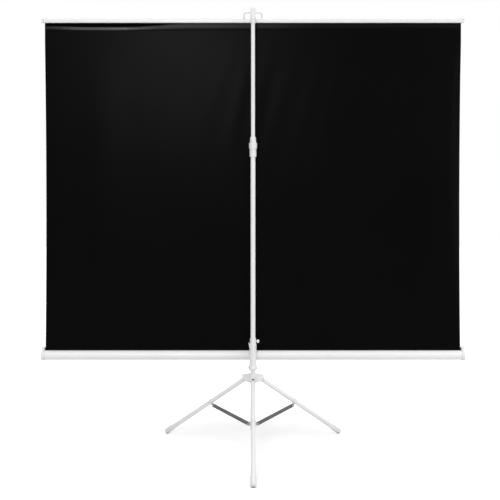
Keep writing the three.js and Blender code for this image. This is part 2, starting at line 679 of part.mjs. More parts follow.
for (const [side, degrees] of Object.entries(LEG_AZIMUTHS)) {
  const turnedTo = (body) => body.rotate([0, 0, degrees]);
  add(`leg_pin_${side}`, turnedTo(hingePin), STEEL);
  add(`leg_tube_${side}`, turnedTo(legTube), WHITE_METAL);
  add(`leg_plug_${side}`, turnedTo(legPlug), WHITE_PLASTIC);
  add(`foot_${side}`, turnedTo(foot), WHITE_PLASTIC);
  add(`brace_clip_${side}`, turnedTo(braceClip), WHITE_PLASTIC);
  add(`brace_rivet_${side}`, turnedTo(braceRivet), STEEL);
  add(`brace_${side}`, turnedTo(brace), GREY_METAL);
  add(`brace_pin_${side}`, turnedTo(bracePin), STEEL);
}

// Carrier.

const carrierProfile = [
  [0, CARRIER_BOTTOM_Z],
  [CARRIER_FOOT_R, CARRIER_BOTTOM_Z],
  [CARRIER_FLARE_R, CARRIER_FLARE_Z - FOOT_ROUND],
  [CARRIER_FLARE_R, CARRIER_FLARE_Z],
  [CARRIER_R, CARRIER_WAIST_Z],
  [CARRIER_R, CARRIER_SHOULDER_Z],
  [CARRIER_NECK_R, CARRIER_NECK_Z],
  [CARRIER_NECK_R, CARRIER_TOP_Z - FOOT_ROUND / 4],
  [CARRIER_NECK_R - FOOT_ROUND / 4, CARRIER_TOP_Z],
  [0, CARRIER_TOP_Z],
];
const carrierBody = solid(turned(carrierProfile, ROUND_MID));
const boss = solid(onY(rod(BOSS_R, 0, BOSS_FACE_Y, ROUND_MID))).translate([0, 0, CASE_Z]);
const carrierBore = solid(rod(MAST_R + FIT, CARRIER_BOTTOM_Z - PAST, CARRIER_TOP_Z + PAST, ROUND_MID));
const headEnd = BOLT_HEAD_Y + BOLT_HEAD;
const boltPocket = solid(onY(rod(BOLT_HEAD_R + FIT, 0, headEnd + FIT, ROUND_MID)));
const boltHole = solid(onY(rod(BOLT_R + FIT, 0, BOSS_FACE_Y + PAST, ROUND_MID)));
const studHole = solid(onX(rod(STUD_R + FIT, 0, KNOB_X, ROUND_PIN))).translate([0, 0, KNOB_Z]);
const triggerGap = TRIGGER_WIDTH / 2 + FIT;
const triggerWindow = solid(
  block(
    [-CARRIER_FLARE_R, -triggerGap, TRIGGER_WINDOW_Z],
    [-INNER_R, triggerGap, TRIGGER_WINDOW_Z + TRIGGER_WINDOW_HEIGHT],
  ),
);
const triggerPinHalf = Math.sqrt(CARRIER_R ** 2 - TRIGGER_X ** 2) - FIT;
const triggerPinHole = solid(onY(rod(TRIGGER_PIN_R + FIT, -CARRIER_R, CARRIER_R, ROUND_PIN)));
const triggerAxis = [TRIGGER_X, 0, TRIGGER_Z];
const carrier = cut(
  join(carrierBody, boss),
  carrierBore,
  boltPocket.translate([0, 0, CASE_Z]),
  boltHole.translate([0, 0, CASE_Z]),
  studHole,
  triggerWindow,
  triggerPinHole.translate(triggerAxis),
);
add("carrier_sleeve", carrier, WHITE_PLASTIC);

const boltProfile = [
  [0, BOLT_HEAD_Y],
  [BOLT_HEAD_R, BOLT_HEAD_Y],
  [BOLT_HEAD_R, headEnd],
  [BOLT_R, headEnd],
  [BOLT_R, CASE_NEAR_Y - 2 * FIT],
  [0, CASE_NEAR_Y - 2 * FIT],
];
add("pivot_bolt", solid(onY(turned(boltProfile, ROUND_MID))).translate([0, 0, CASE_Z]), STEEL);

const saddleLow = CASE_Z - SADDLE_HEIGHT / 2;
const saddleOutline = rounded(
  BOSS_FACE_Y + FIT,
  saddleLow,
  SADDLE_FAR_Y,
  saddleLow + SADDLE_HEIGHT,
  FOOT_ROUND / 2,
);
const saddleBlock = solid(alongX(saddleOutline, -SADDLE_WIDTH / 2, SADDLE_WIDTH / 2));
const saddleSeat = solid(onX(rod(CASE_R + FIT, -SADDLE_WIDTH, SADDLE_WIDTH, 2 * ROUND)));
const saddle = cut(
  saddleBlock,
  saddleSeat.translate([0, CASE_Y, CASE_Z]),
  solid(onY(rod(BOLT_R + FIT, 0, CASE_Y, ROUND_MID))).translate([0, 0, CASE_Z]),
);
add("case_saddle", saddle, WHITE_PLASTIC);

const knobOutline = lobed(KNOB_R, KNOB_LOBE_DEPTH, KNOB_LOBES, LOBE_STEPS);
const knobGrip = solid(onX(pushed(knobOutline, KNOB_DEPTH)).translate(KNOB_X, 0, KNOB_Z));
const knobStud = solid(onX(rod(STUD_R, MAST_R + PAST, KNOB_X + PAST, ROUND_PIN)).translate(0, 0, KNOB_Z));
add("lock_knob", join(knobGrip, knobStud), WHITE_PLASTIC);

const triggerOutline = [
  ...arc(TRIGGER_X, TRIGGER_Z, TRIGGER_EYE_R, 2 * q, 4 * q, EYE_STEPS),
  [TRIGGER_TIP_X + TRIGGER_THICK, TRIGGER_TIP_Z],
  [TRIGGER_TIP_X + TRIGGER_THICK / 2, TRIGGER_TIP_Z + PAST],
  [TRIGGER_TIP_X, TRIGGER_TIP_Z - PAST],
];
const triggerPlate = solid(alongY(triggerOutline, -TRIGGER_WIDTH / 2, TRIGGER_WIDTH / 2));
add("release_trigger", cut(triggerPlate, triggerPinHole.translate(triggerAxis)), WHITE_PLASTIC);
const triggerPin = solid(onY(rod(TRIGGER_PIN_R, -triggerPinHalf, triggerPinHalf, ROUND_PIN)));
add("trigger_pin", triggerPin.translate(triggerAxis), STEEL);

const windowTop = TRIGGER_WINDOW_Z + TRIGGER_WINDOW_HEIGHT;
const leafX = -MAST_R - 2 * FIT;
const leafOutline = [
  [leafX - LEAF_THICK, windowTop - FIT],
  [leafX - LEAF_THICK, TRIGGER_TIP_Z - TRIGGER_EYE_R],
  [leafX - LEAF_THICK - PAST, TRIGGER_Z + 3 * TRIGGER_EYE_R],
  [leafX - PAST, TRIGGER_Z + 3 * TRIGGER_EYE_R],
  [leafX, TRIGGER_TIP_Z - TRIGGER_EYE_R],
  [leafX, windowTop - FIT],
];
add("trigger_spring", solid(alongY(leafOutline, -LEAF_WIDTH / 2, LEAF_WIDTH / 2)), STEEL);

// Case.

const caseOutline = [
  ...arc(CASE_Y, CASE_Z, CASE_R, SLOT_TO, SLOT_FROM + 4 * q, CASE_STEPS),
  ...arc(CASE_Y, CASE_Z, CASE_R - CASE_WALL, SLOT_FROM + 4 * q, SLOT_TO, CASE_STEPS),
];
add("case_tube", solid(alongX(caseOutline, -CASE_HALF, CASE_HALF)), WHITE_METAL);

const finY = SHEET_Y + CAP_FIN;
const finNearY = SHEET_Y - CAP_FIN;
const capDisc = solid(onX(rod(CAP_R, 0, CAP_LENGTH, ROUND))).translate([0, CASE_Y, CASE_Z]);
const capFinOutline = [
  [finNearY, CASE_Z],
  [finY, CASE_Z],
  [finY, CAP_TOP_Z - FOOT_ROUND],
  [finY - FOOT_ROUND, CAP_TOP_Z],
  [finNearY + FOOT_ROUND, CAP_TOP_Z],
  [finNearY, CAP_TOP_Z - FOOT_ROUND],
];
const capFin = solid(alongX(capFinOutline, 0, CAP_LENGTH));
const ringOut = CASE_R - CASE_WALL - FIT;
const capRing = solid(onX(tube(ringOut - CAP_RING, ringOut, -CAP_RING_DEPTH, PAST, ROUND_MID)));
const slotReach = CASE_R + CAP_R;
const ringNotch = solid(
  block(
    [-CAP_RING_DEPTH - PAST, finNearY, CASE_Z],
    [-FIT, finY + CAP_FIN, CASE_Z + slotReach],
  ),
);
const capRingOpen = cut(capRing.translate([0, CASE_Y, CASE_Z]), ringNotch);
const shaftSocket = solid(onX(rod(SHAFT_R + FIT, -PAST, CAP_LENGTH - CAP_RING, ROUND_PIN)));
const cap = cut(join(capDisc, capFin, capRingOpen), shaftSocket.translate([0, ROLLER_Y, CASE_Z]));
const capRight = cap.translate([CASE_HALF + FIT, 0, 0]);
add("end_cap_right", capRight, WHITE_PLASTIC);
add("end_cap_left", capRight.mirror([1, 0, 0]), WHITE_PLASTIC);

const lipY = CASE_Y + (CASE_R - CASE_WALL) * Math.cos(SLOT_FROM) - FIT;
const sealOutline = [
  [lipY - SEAL_THICK, CASE_Z + SEAL_DEPTH],
  [lipY, CASE_Z + SEAL_DEPTH],
  [lipY, SEAL_TOP_Z],
  [lipY - SEAL_THICK, SEAL_TOP_Z],
];
add("slot_seal", solid(alongX(sealOutline, -CASE_HALF + FIT, CASE_HALF - FIT)), BLACK_FELT);

// Spring roller.

const onRoller = (body) => body.translate([0, ROLLER_Y, CASE_Z]);
const rollerBore = ROLLER_R - ROLLER_WALL;
add("roller_tube", onRoller(solid(onX(tube(rollerBore, ROLLER_R, -ROLLER_HALF, ROLLER_HALF)))), ALUMINIUM);

const rollerPlugProfile = [
  [SHAFT_R + FIT, ROLLER_HALF - ROLLER_SPIGOT],
  [rollerBore - FIT, ROLLER_HALF - ROLLER_SPIGOT],
  [rollerBore - FIT, ROLLER_HALF + FIT],
  [ROLLER_R, ROLLER_HALF + FIT],
  [ROLLER_R, ROLLER_HALF + ROLLER_FLANGE],
  [SHAFT_R + FIT, ROLLER_HALF + ROLLER_FLANGE],
];
const rollerPlug = onRoller(solid(onX(turned(rollerPlugProfile, ROUND_MID))));
add("roller_plug_right", rollerPlug, WHITE_PLASTIC);
add("roller_plug_left", rollerPlug.mirror([1, 0, 0]), WHITE_PLASTIC);

const shaftEnd = CASE_HALF + FIT + CAP_LENGTH - CAP_RING - FIT;
const springEnd = SPRING_START + SPRING_LENGTH;
add("spring_shaft", onRoller(solid(onX(rod(SHAFT_R, -shaftEnd, springEnd + SHAFT_PAST, ROUND_PIN)))), STEEL);
add("idle_pin", onRoller(solid(onX(rod(SHAFT_R, shaftEnd - IDLE_LENGTH, shaftEnd, ROUND_PIN)))), STEEL);

class Coil extends THREE.Curve {
  // A helix round +X from a start, over a length, with whole turns.
  getPoint(t, target = new THREE.Vector3()) {
    const a = 2 * Math.PI * SPRING_TURNS * t;
    const x = SPRING_START + SPRING_LENGTH * t;
    return target.set(x, SPRING_R * Math.cos(a), SPRING_R * Math.sin(a));
  }
}
const wire = new THREE.Shape(arc(0, 0, SPRING_WIRE, 0, 3 * q, 3).map(([x, y]) => new THREE.Vector2(x, y)));
const coil = new THREE.ExtrudeGeometry(wire, {
  steps: SPRING_TURNS * ROUND_WIRE,
  extrudePath: new Coil(),
  bevelEnabled: false,
});
add("return_spring", onRoller(solid(coil)), STEEL);

const rollRing = tube(ROLLER_R + FIT, ROLL_OUT_R, -SHEET_HALF, SHEET_HALF);
add("sheet_roll", onRoller(solid(onX(rollRing))), BLACK_SHEET);

// Sheet.

const sheetTop = HEM_ROD_Z - HEM_ROD_R - FIT / 2;
const sheetHalf = (t) => {
  const straight = SHEET_HALF + SHEET_SPREAD * t;
  return straight - 4 * SHEET_DRAWN_IN * t * (1 - t);
};
const sheetEdge = Array.from({ length: SHEET_EDGE_STEPS + 1 }, (_, i) => {
  const t = i / SHEET_EDGE_STEPS;
  return [sheetHalf(t), CASE_Z + (sheetTop - CASE_Z) * t];
});
const sheetOutline = [...sheetEdge, ...sheetEdge.map(([x, z]) => [-x, z]).reverse()];
const sheetNear = SHEET_Y - SHEET_THICK / 2;
add("screen_sheet", solid(alongY(sheetOutline, sheetNear, sheetNear + SHEET_THICK)), BLACK_SHEET);

// Top slat.

const slatNear = SHEET_Y - SLAT_DEPTH / 2;
const slatFar = SHEET_Y + SLAT_DEPTH / 2;
const slatOutline = rounded(slatNear, SLAT_BOTTOM_Z, slatFar, SLAT_TOP_Z, SLAT_CORNER);
const slatBar = solid(alongX(slatOutline, -SLAT_HALF, SLAT_HALF));
const hollowOutline = rounded(
  slatNear + SLAT_WALL,
  SLAT_BOTTOM_Z + SLAT_WALL,
  slatFar - SLAT_WALL,
  SLAT_TOP_Z - SLAT_WALL,
  SLAT_CORNER - SLAT_WALL,
);
const slatHollow = solid(alongX(hollowOutline, -SLAT_HALF - PAST, SLAT_HALF + PAST));
const slatMouth = solid(
  block(
    [-SLAT_HALF - PAST, SHEET_Y - SLAT_MOUTH / 2, SLAT_BOTTOM_Z - PAST],
    [SLAT_HALF + PAST, SHEET_Y + SLAT_MOUTH / 2, SLAT_BOTTOM_Z + SLAT_HEIGHT / 2],
  ),
);
add("top_slat", cut(slatBar, slatHollow, slatMouth), WHITE_METAL);

const rodHalf = SLAT_HALF - 2 * SLAT_CAP;
const hemRod = solid(onX(rod(HEM_ROD_R, -rodHalf, rodHalf, ROUND_PIN)));
add("hem_rod", hemRod.translate([0, SHEET_Y, HEM_ROD_Z]), WHITE_PLASTIC);

const capOutline = rounded(
  slatNear - SLAT_CAP_PROUD,
  SLAT_BOTTOM_Z - SLAT_CAP_PROUD,
  slatFar + SLAT_CAP_PROUD,
  SLAT_TOP_Z + SLAT_CAP_PROUD,
  SLAT_CORNER,
);
const slatEnd = SLAT_HALF + FIT;
const slatCapPlate = solid(alongX(capOutline, slatEnd, slatEnd + SLAT_CAP));
const pegOutline = rounded(
  slatNear + SLAT_WALL + FIT,
  SLAT_BOTTOM_Z + SLAT_WALL + FIT,
  slatFar - SLAT_WALL - FIT,
  SLAT_TOP_Z - SLAT_WALL - FIT,
  SLAT_CORNER - SLAT_WALL - FIT,
);
const slatCapPeg = solid(alongX(pegOutline, slatEnd - SLAT_PEG, slatEnd + PAST));
const slatCap = join(slatCapPlate, slatCapPeg);
add("slat_cap_right", slatCap, WHITE_PLASTIC);
add("slat_cap_left", slatCap.mirror([1, 0, 0]), WHITE_PLASTIC);

// Pull handle, a bent loop that leans from the slat to the hook.

const footTop = SLAT_TOP_Z + FIT + HANDLE_FOOT;
const handleSide = [
  [HANDLE_HALF, SHEET_Y, footTop - PAST],
  [HANDLE_HALF, SHEET_Y - HANDLE_WIRE / 2, footTop + HANDLE_WIRE],
  [HANDLE_HALF, (SHEET_Y + HANDLE_BAR_Y) / 2, (footTop + 2 * HANDLE_BAR_Z) / 3],
  [HANDLE_HALF - HANDLE_WIRE, HANDLE_BAR_Y + HANDLE_CORNER / 2, HANDLE_BAR_Z - PAST / 2],
  [HANDLE_HALF - HANDLE_CORNER, HANDLE_BAR_Y, HANDLE_BAR_Z],
];
const handlePoints = [
  ...handleSide,
  [0, HANDLE_BAR_Y, HANDLE_BAR_Z],
  ...handleSide.map(([x, y, z]) => [-x, y, z]).reverse(),
];
const handlePath = new THREE.CatmullRomCurve3(
  handlePoints.map((p) => new THREE.Vector3(...p)),
  false,
  "centripetal",
);
const handleWire = new THREE.Shape(
  arc(0, 0, HANDLE_WIRE, 0, 4 * q * (1 - 1 / ROUND_WIRE), ROUND_WIRE - 1).map(
    ([x, y]) => new THREE.Vector2(x, y),
  ),
);
const handleBend = new THREE.ExtrudeGeometry(handleWire, {
  steps: HANDLE_STEPS,
  extrudePath: handlePath,
  bevelEnabled: false,
});
const handleFoot = solid(rod(HANDLE_FOOT_R, SLAT_TOP_Z + FIT, footTop, ROUND_PIN));
const handle = join(
  solid(handleBend),
  handleFoot.translate([HANDLE_HALF, SHEET_Y, 0]),
  handleFoot.translate([-HANDLE_HALF, SHEET_Y, 0]),
);
add("pull_handle", handle, WHITE_PLASTIC);

// The origin is the middle of the footprint, on the floor.
const span = new THREE.Box3().setFromObject(screen);
screen.position.y = -(span.min.y + span.max.y) / 2;

export default screen;
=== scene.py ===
"""Dresses the tripod projection screen round its fixed frame: finishes, sheet, felt, wraps and small trim."""

from __future__ import annotations

import logging
import math
from dataclasses import dataclass
from enum import Enum, IntEnum
from typing import Any, Sequence

import bpy
import numpy as np
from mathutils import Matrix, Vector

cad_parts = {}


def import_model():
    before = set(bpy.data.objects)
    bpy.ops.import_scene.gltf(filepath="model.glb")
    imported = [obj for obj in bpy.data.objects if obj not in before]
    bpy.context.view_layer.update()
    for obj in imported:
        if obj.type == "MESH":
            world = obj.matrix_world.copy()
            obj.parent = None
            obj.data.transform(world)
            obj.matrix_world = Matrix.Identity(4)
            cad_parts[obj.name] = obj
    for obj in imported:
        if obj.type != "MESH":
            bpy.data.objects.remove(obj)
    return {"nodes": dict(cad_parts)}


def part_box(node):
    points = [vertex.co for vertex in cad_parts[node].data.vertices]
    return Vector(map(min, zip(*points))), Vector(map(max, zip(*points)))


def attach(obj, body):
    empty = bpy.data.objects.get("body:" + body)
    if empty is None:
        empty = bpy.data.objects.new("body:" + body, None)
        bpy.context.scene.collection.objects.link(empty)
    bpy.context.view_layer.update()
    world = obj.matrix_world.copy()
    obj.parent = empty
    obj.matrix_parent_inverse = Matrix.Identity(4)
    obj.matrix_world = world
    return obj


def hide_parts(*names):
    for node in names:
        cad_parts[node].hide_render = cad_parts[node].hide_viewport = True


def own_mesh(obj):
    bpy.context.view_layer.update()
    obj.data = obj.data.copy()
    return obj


LOG = logging.getLogger("projection_screen")
MM = 0.001
Array = np.ndarray
Colour = tuple[float, float, float]
Point = tuple[float, float, float]
Span = tuple[float, float]
Material = bpy.types.Material
Piece = bpy.types.Object
Socket = bpy.types.NodeSocket

WHITE = (1.0, 1.0, 1.0)
# Where soft noise mostly lies between 0 and 1.
NOISE_SPAN = (0.25, 0.75)
# Gloss of the stretches of the hem's fold, from the end where the hem sags.
HEM_GLOSS = (0.2, 0.26, 0.34, 0.45, 0.34, 0.26, 0.2, 0.15, 0.115, 0.088, 0.073, 0.062)
# Radius and reach of the boss in millimetres, from its root in the sleeve to the floor of its well.
BOSS_PROFILE = (
    (6.3, 15.6), (6.3, 17.9), (6.2, 18.4), (5.8, 18.75), (5.3, 18.85),
    (4.6, 18.85), (4.1, 18.7), (3.8, 18.3), (3.7, 17.2),
)  # fmt: skip
# Radius and reach of the screw's head in millimetres, from its seat to the bottom of its recess.
SCREW_PROFILE = (
    (3.2, 16.8), (3.2, 17.9), (3.05, 18.2), (2.7, 18.45), (2.1, 18.6),
    (1.2, 18.7), (0.9, 18.7), (0.8, 18.2), (0.25, 17.9),
)  # fmt: skip


class Side(Enum):
    """The three legs, by where they point when the sheet is seen from behind."""

    FRONT = "front"
    LEFT = "left"
    RIGHT = "right"


class Coordinates(Enum):
    """What a pattern is laid out on."""

    OBJECT = "Object"
    UV = "UV"


class HemFinish(IntEnum):
    """Numbers of the hem's finishes; the stretches of its fold count on from the last."""

    BACK = 0
    PICTURE = 1
    WELD = 2
    FOLD = 3


# Surfaces.


@dataclass(frozen=True)
class Wave:
    """One sine of a rippled surface: its rate, phase and share, and how it leans with height."""

    rate: float
    phase: float
    share: float
    lean: float = 0.0

    def at(self, along: Array, height: Array | float = 0.0) -> Array:
        """The sine of rate times place, plus phase, plus lean times height; all of it times the share."""
        return np.sin(along * self.rate + self.phase + height * self.lean) * self.share


def grid_faces(rows: int, columns: int, wrap: bool = False) -> Array:
    """Quads between the points of a grid kept row by row.

    Args:
        rows: number of rows of points.
        columns: number of points in a row.
        wrap: whether the last point of a row joins its first.

    Returns:
        One row of four point numbers for each quad.
    """
    across = np.arange(columns if wrap else columns - 1)
    up = np.arange(rows - 1)
    i, j = np.meshgrid(up, across, indexing="ij")
    here = i * columns + j
    beside = i * columns + (j + 1) % columns
    return np.stack([here, beside, beside + columns, here + columns], -1).reshape(-1, 4)


def smooth_step(low: float, high: float, values: Array) -> Array:
    """Rises from 0 at low to 1 at high along 3t^2 - 2t^3."""
    t = np.clip((values - low) / (high - low), 0.0, 1.0)
    return t * t * (3.0 - 2.0 * t)


def enclosed_volume(points: Array, quads: Array) -> float:
    """Six times the volume inside a closed surface: the sum of a . (b x c) over its triangles.

    Args:
        points: one row of x, y, z for each point.
        quads: one row of four point numbers for each face.

    Returns:
        The volume times six, below zero where the faces point in.
    """
    a, b, c, d = (points[quads[:, k]] for k in range(4))
    first = np.einsum("ij,ij->i", a, np.cross(b, c)).sum()
    return float(first + np.einsum("ij,ij->i", a, np.cross(c, d)).sum())


def mesh_piece(name: str, points: Array, quads: Array, walls: int, layout: Array | None = None) -> Piece:
    """A smooth-shaded object with flat ends, at the origin, whose mesh holds its place.

    Args:
        name: the piece's name.
        points: one row of x, y, z in metres for each point.
        quads: one row of four point numbers for each face, the walls before the ends.
        walls: how many of the faces are walls.
        layout: one row of u, v for each point, in metres on the flat piece.

    Returns:
        The new object, with its faces pointing out.
    """
    if enclosed_volume(points, quads) < 0:
        quads = quads[:, ::-1]
    mesh = bpy.data.meshes.new(name)
    mesh.from_pydata(points.tolist(), [], quads.tolist())
    if layout is not None:
        uv = mesh.uv_layers.new(name="flat")
        uv.data.foreach_set("uv", layout[corner_points(mesh)].astype(np.float32).ravel())
    mesh.polygons.foreach_set("use_smooth", np.arange(len(quads)) < walls)
    mesh.update()
    piece = bpy.data.objects.new(name, mesh)
    bpy.context.scene.collection.objects.link(piece)
    return piece


def corner_points(mesh: bpy.types.Mesh) -> Array:
    """Point numbers of a mesh's face corners.

    Args:
        mesh: the mesh.

    Returns:
        One number for each corner, face after face.
    """
    corners = np.empty(len(mesh.loops), np.int32)
    mesh.loops.foreach_get("vertex_index", corners)
    return corners


def closed_sweep(sections: Array) -> tuple[Array, Array, int]:
    """Closed tube through a row of closed sections, with a ladder of quads over each end.

    Args:
        sections: stations by section points by x, y, z; a section has an even number of points.

    Returns:
        The points, the quads and how many of them are walls. Each end is closed by quads between opposite points.
    """
    stations, around, _ = sections.shape
    walls = grid_faces(stations, around, wrap=True)
    k = np.arange(around // 2 - 1)
    end = np.stack([k, around - 1 - k, around - 2 - k, k + 1], -1)
    far = end[:, ::-1] + (stations - 1) * around
    return sections.reshape(-1, 3), np.concatenate([walls, end, far]), len(walls)


# Finishes.


@dataclass(frozen=True)
class Noise:
    """Soft noise: how many features lie along a metre, and how many finer layers it has."""

    per_metre: float
    detail: float


@dataclass(frozen=True)
class Relief(Noise):
    """Noise pressed into a surface: its depth in metres, and how strongly it turns the light."""

    depth: float
    strength: float


def opaque(colour: Colour, factor: float = 1.0) -> tuple[float, float, float, float]:
    """A colour times a factor, with full alpha."""
    return (colour[0] * factor, colour[1] * factor, colour[2] * factor, 1.0)


class Graph:
    """A material's node tree, with short calls to add and join nodes."""

    def __init__(self, name: str) -> None:
        """Starts a material with an empty tree.

        Args:
            name: the material's name.
        """
        self.material = bpy.data.materials.new(name)
        self.material.use_nodes = True
        self.tree = self.material.node_tree
        self.tree.nodes.clear()
        self.output = self.tree.nodes.new("ShaderNodeOutputMaterial")

    def add(self, kind: str, settings: dict[str, Any] | None = None, **inputs: Any) -> bpy.types.Node:
        """Adds a node.

        Args:
            kind: the node's type after "ShaderNode".
            settings: attributes of the node itself.
            inputs: values for its sockets, by name with _ for a blank; an output socket is joined.

        Returns:
            The new node.
        """
        node = self.tree.nodes.new("ShaderNode" + kind)
        for key, value in (settings or {}).items():
            setattr(node, key, value)
        for key, value in inputs.items():
            self.put(node.inputs[key.replace("_", " ")], value)
        return node

    def put(self, socket: Socket, value: Any) -> None:
        """Joins an output to a socket, or sets the socket's own value.

        Args:
            socket: the input.
            value: an output socket, or a number or colour.
        """
        if isinstance(value, Socket):
            self.tree.links.new(value, socket)
        else:
            socket.default_value = value

    def place(self, coordinates: Coordinates) -> Socket:
        """The coordinates a pattern is laid out on."""
        return self.add("TexCoord").outputs[coordinates.value]

    def noise(self, where: Socket, pattern: Noise) -> Socket:
        """Soft noise from 0 to 1."""
        node = self.add("TexNoise", Vector=where, Scale=pattern.per_metre, Detail=pattern.detail)
        return node.outputs["Fac"]

    def bump(self, height: Socket, relief: Relief) -> Socket:
        """A normal from heights of 0 to 1 times the relief's depth."""
        node = self.add("Bump", Height=height, Strength=relief.strength, Distance=relief.depth)
        return node.outputs["Normal"]

    def carry(self, value: Socket, source: Span, target: Span = (0.0, 1.0)) -> Socket:
        """Carries numbers straight from one span to another, and holds them at its ends.

        Args:
            value: the numbers.
            source: the span they come from.
            target: the span they go to.

        Returns:
            The carried numbers.
        """
        node = self.add("MapRange", Value=value)
        for name, bound in zip(("From Min", "From Max", "To Min", "To Max"), (*source, *target)):
            node.inputs[name].default_value = bound
        return node.outputs["Result"]

    def spread(self, value: Socket, target: Span = (0.0, 1.0)) -> Socket:
        """Carries noise to a span."""
        return self.carry(value, NOISE_SPAN, target)

    def product(self, first: Socket, second: Socket) -> Socket:
        """Multiplies two numbers.

        Args:
            first: one of them.
            second: the other.

        Returns:
            Their product.
        """
        node = self.add("Math", {"operation": "MULTIPLY"})
        self.put(node.inputs[0], first)
        self.put(node.inputs[1], second)
        return node.outputs["Value"]

    def band(self, value: Socket, low: float, high: float, blur: float) -> Socket:
        """1 between two bounds and 0 outside, over an edge as wide as the blur."""
        rise, fall = self.carry(value, (low, low + blur)), self.carry(value, (high, high - blur))
        return self.product(rise, fall)

    def mix(self, share: Socket, first: Any, second: Any) -> Socket:
        """Mixes two colours.

        Args:
            share: how much of the second, from 0 to 1.
            first: a colour or a socket.
            second: a colour or a socket.

        Returns:
            The colour between them.
        """
        node = self.add("Mix", {"data_type": "RGBA"})
        colours = [socket for socket in node.inputs if socket.type == "RGBA"]
        self.put(node.inputs[0], share)
        self.put(colours[0], first)
        self.put(colours[1], second)
        return next(socket for socket in node.outputs if socket.type == "RGBA")

    def mottle(self, noise: Socket, colour: Colour, tone: float) -> Socket:
        """A colour that goes towards itself times the tone where the noise is high."""
        return self.mix(self.spread(noise), opaque(colour), opaque(colour, tone))

    def blend(self, share: Socket, first: Any, second: Any) -> Socket:
        """Mixes two numbers.

        Args:
            share: how much of the second, from 0 to 1.
            first: a number or a socket.
            second: a number or a socket.

        Returns:
            The number between them.
        """
        node = self.add("Mix", {"data_type": "FLOAT"})
        self.put(node.inputs[0], share)
        self.put(node.inputs[2], first)
        self.put(node.inputs[3], second)
        return node.outputs[0]

    def surface(self, **inputs: Any) -> Material:
        """Ends the tree in one principled surface.

        Args:
            inputs: values for the shader's sockets.

        Returns:
            The finished material.
        """
        shader = self.add("BsdfPrincipled", **inputs)
        self.put(self.output.inputs["Surface"], shader.outputs["BSDF"])
        return self.material


@dataclass(frozen=True)
class Finish:
    """A finish whose colour and gloss change slowly with a cloud of noise, with a fine grain pressed into it."""

    name: str
    colour: Colour
    roughness: Span
    tone: float
    cloud: Noise
    grain: Relief
    laid_on: Coordinates = Coordinates.OBJECT
    gloss_by_grain: bool = False
    metallic: float = 0.0
    specular: float = 0.5
    sheen: float = 0.0

    def material(self) -> Material:
        """Builds the finish.

        Returns:
            The new material.
        """
        graph = Graph(self.name)
        where = graph.place(self.laid_on)
        cloud = graph.noise(where, self.cloud)
        grain = graph.noise(where, self.grain)
        return graph.surface(
            Base_Color=graph.mottle(cloud, self.colour, self.tone),
            Roughness=graph.spread(grain if self.gloss_by_grain else cloud, self.roughness),
            Metallic=self.metallic,
            Specular_IOR_Level=self.specular,
            Sheen_Weight=self.sheen,
            Normal=graph.bump(grain, self.grain),
        )


@dataclass(frozen=True)
class PowderCoat(Finish):
    """Baked powder paint on metal: a faint orange peel and slow changes of tone and gloss."""

    name: str = "white_powder_coat"
    colour: Colour = (0.83, 0.83, 0.825)
    roughness: Span = (0.3, 0.42)
    tone: float = 0.965
    cloud: Noise = Noise(9.0, 4.0)
    grain: Relief = Relief(700.0, 1.0, depth=0.03 * MM, strength=0.5)


@dataclass(frozen=True)
class MouldedPlastic(Finish):
    """Moulded plastic with a fine spark-eroded grain and slightly uneven gloss."""

    name: str = "white_moulded_plastic"
    colour: Colour = (0.8, 0.8, 0.795)
    roughness: Span = (0.38, 0.52)
    tone: float = 0.95
    cloud: Noise = Noise(26.0, 3.0)
    grain: Relief = Relief(2200.0, 2.0, depth=0.04 * MM, strength=0.4)


@dataclass(frozen=True)
class DarkBottomPlastic(MouldedPlastic):
    """Moulded plastic coloured dark over its lowest few millimetres, where it stands on the floor."""

    name: str = "white_plastic_dark_at_bottom"
    # Colour, tone and roughness of the dark band at the bottom, the band's height and its blurred edge.
    dark_bottom: Colour = (0.035, 0.035, 0.036)
    dark_bottom_tone: float = 1.6
    dark_bottom_roughness: float = 0.82
    dark_height: float = 5.0 * MM
    edge: float = 0.5 * MM

    def material(self) -> Material:
        """Builds the finish, coloured dark up to the dark band's height above the floor.

        Returns:
            The new material.
        """
        graph = Graph(self.name)
        where = graph.place(self.laid_on)
        height = graph.add("SeparateXYZ", Vector=where).outputs["Z"]
        # The foot is coloured dark up to 5 mm above the floor.
        dark_band = graph.band(height, -self.dark_height, self.dark_height, self.edge)
        cloud = graph.noise(where, self.cloud)
        grain = graph.noise(where, self.grain)
        plastic = graph.mottle(cloud, self.colour, self.tone)
        dark_bottom = graph.mottle(grain, self.dark_bottom, self.dark_bottom_tone)
        return graph.surface(
            Base_Color=graph.mix(dark_band, plastic, dark_bottom),
            Roughness=graph.blend(dark_band, graph.spread(cloud, self.roughness), self.dark_bottom_roughness),
            Normal=graph.bump(grain, self.grain),
        )


@dataclass(frozen=True)
class SatinPaint(Finish):
    """Thin dark paint on steel strip, cloudy, with a fine grain showing through."""

    name: str = "grey_satin_paint"
    colour: Colour = (0.09, 0.091, 0.092)
    roughness: Span = (0.32, 0.5)
    tone: float = 1.35
    cloud: Noise = Noise(60.0, 5.0)
    grain: Relief = Relief(900.0, 2.0, depth=0.03 * MM, strength=0.5)
    metallic: float = 0.15


@dataclass(frozen=True)
class BareMetal(Finish):
    """Bare metal whose gloss changes with its fine grain."""

    tone: float = 0.86
    cloud: Noise = Noise(120.0, 3.0)
    grain: Relief = Relief(1500.0, 3.0, depth=0.02 * MM, strength=0.4)
    gloss_by_grain: bool = True
    metallic: float = 1.0


@dataclass(frozen=True)
class PlatedSteel(BareMetal):
    """Zinc-plated steel of pins, screws and springs."""

    name: str = "zinc_plated_steel"
    colour: Colour = (0.62, 0.63, 0.64)
    roughness: Span = (0.24, 0.36)


@dataclass(frozen=True)
class DrawnAluminium(BareMetal):
    """Drawn aluminium of the roller."""

    name: str = "drawn_aluminium"
    colour: Colour = (0.74, 0.75, 0.76)
    roughness: Span = (0.28, 0.4)


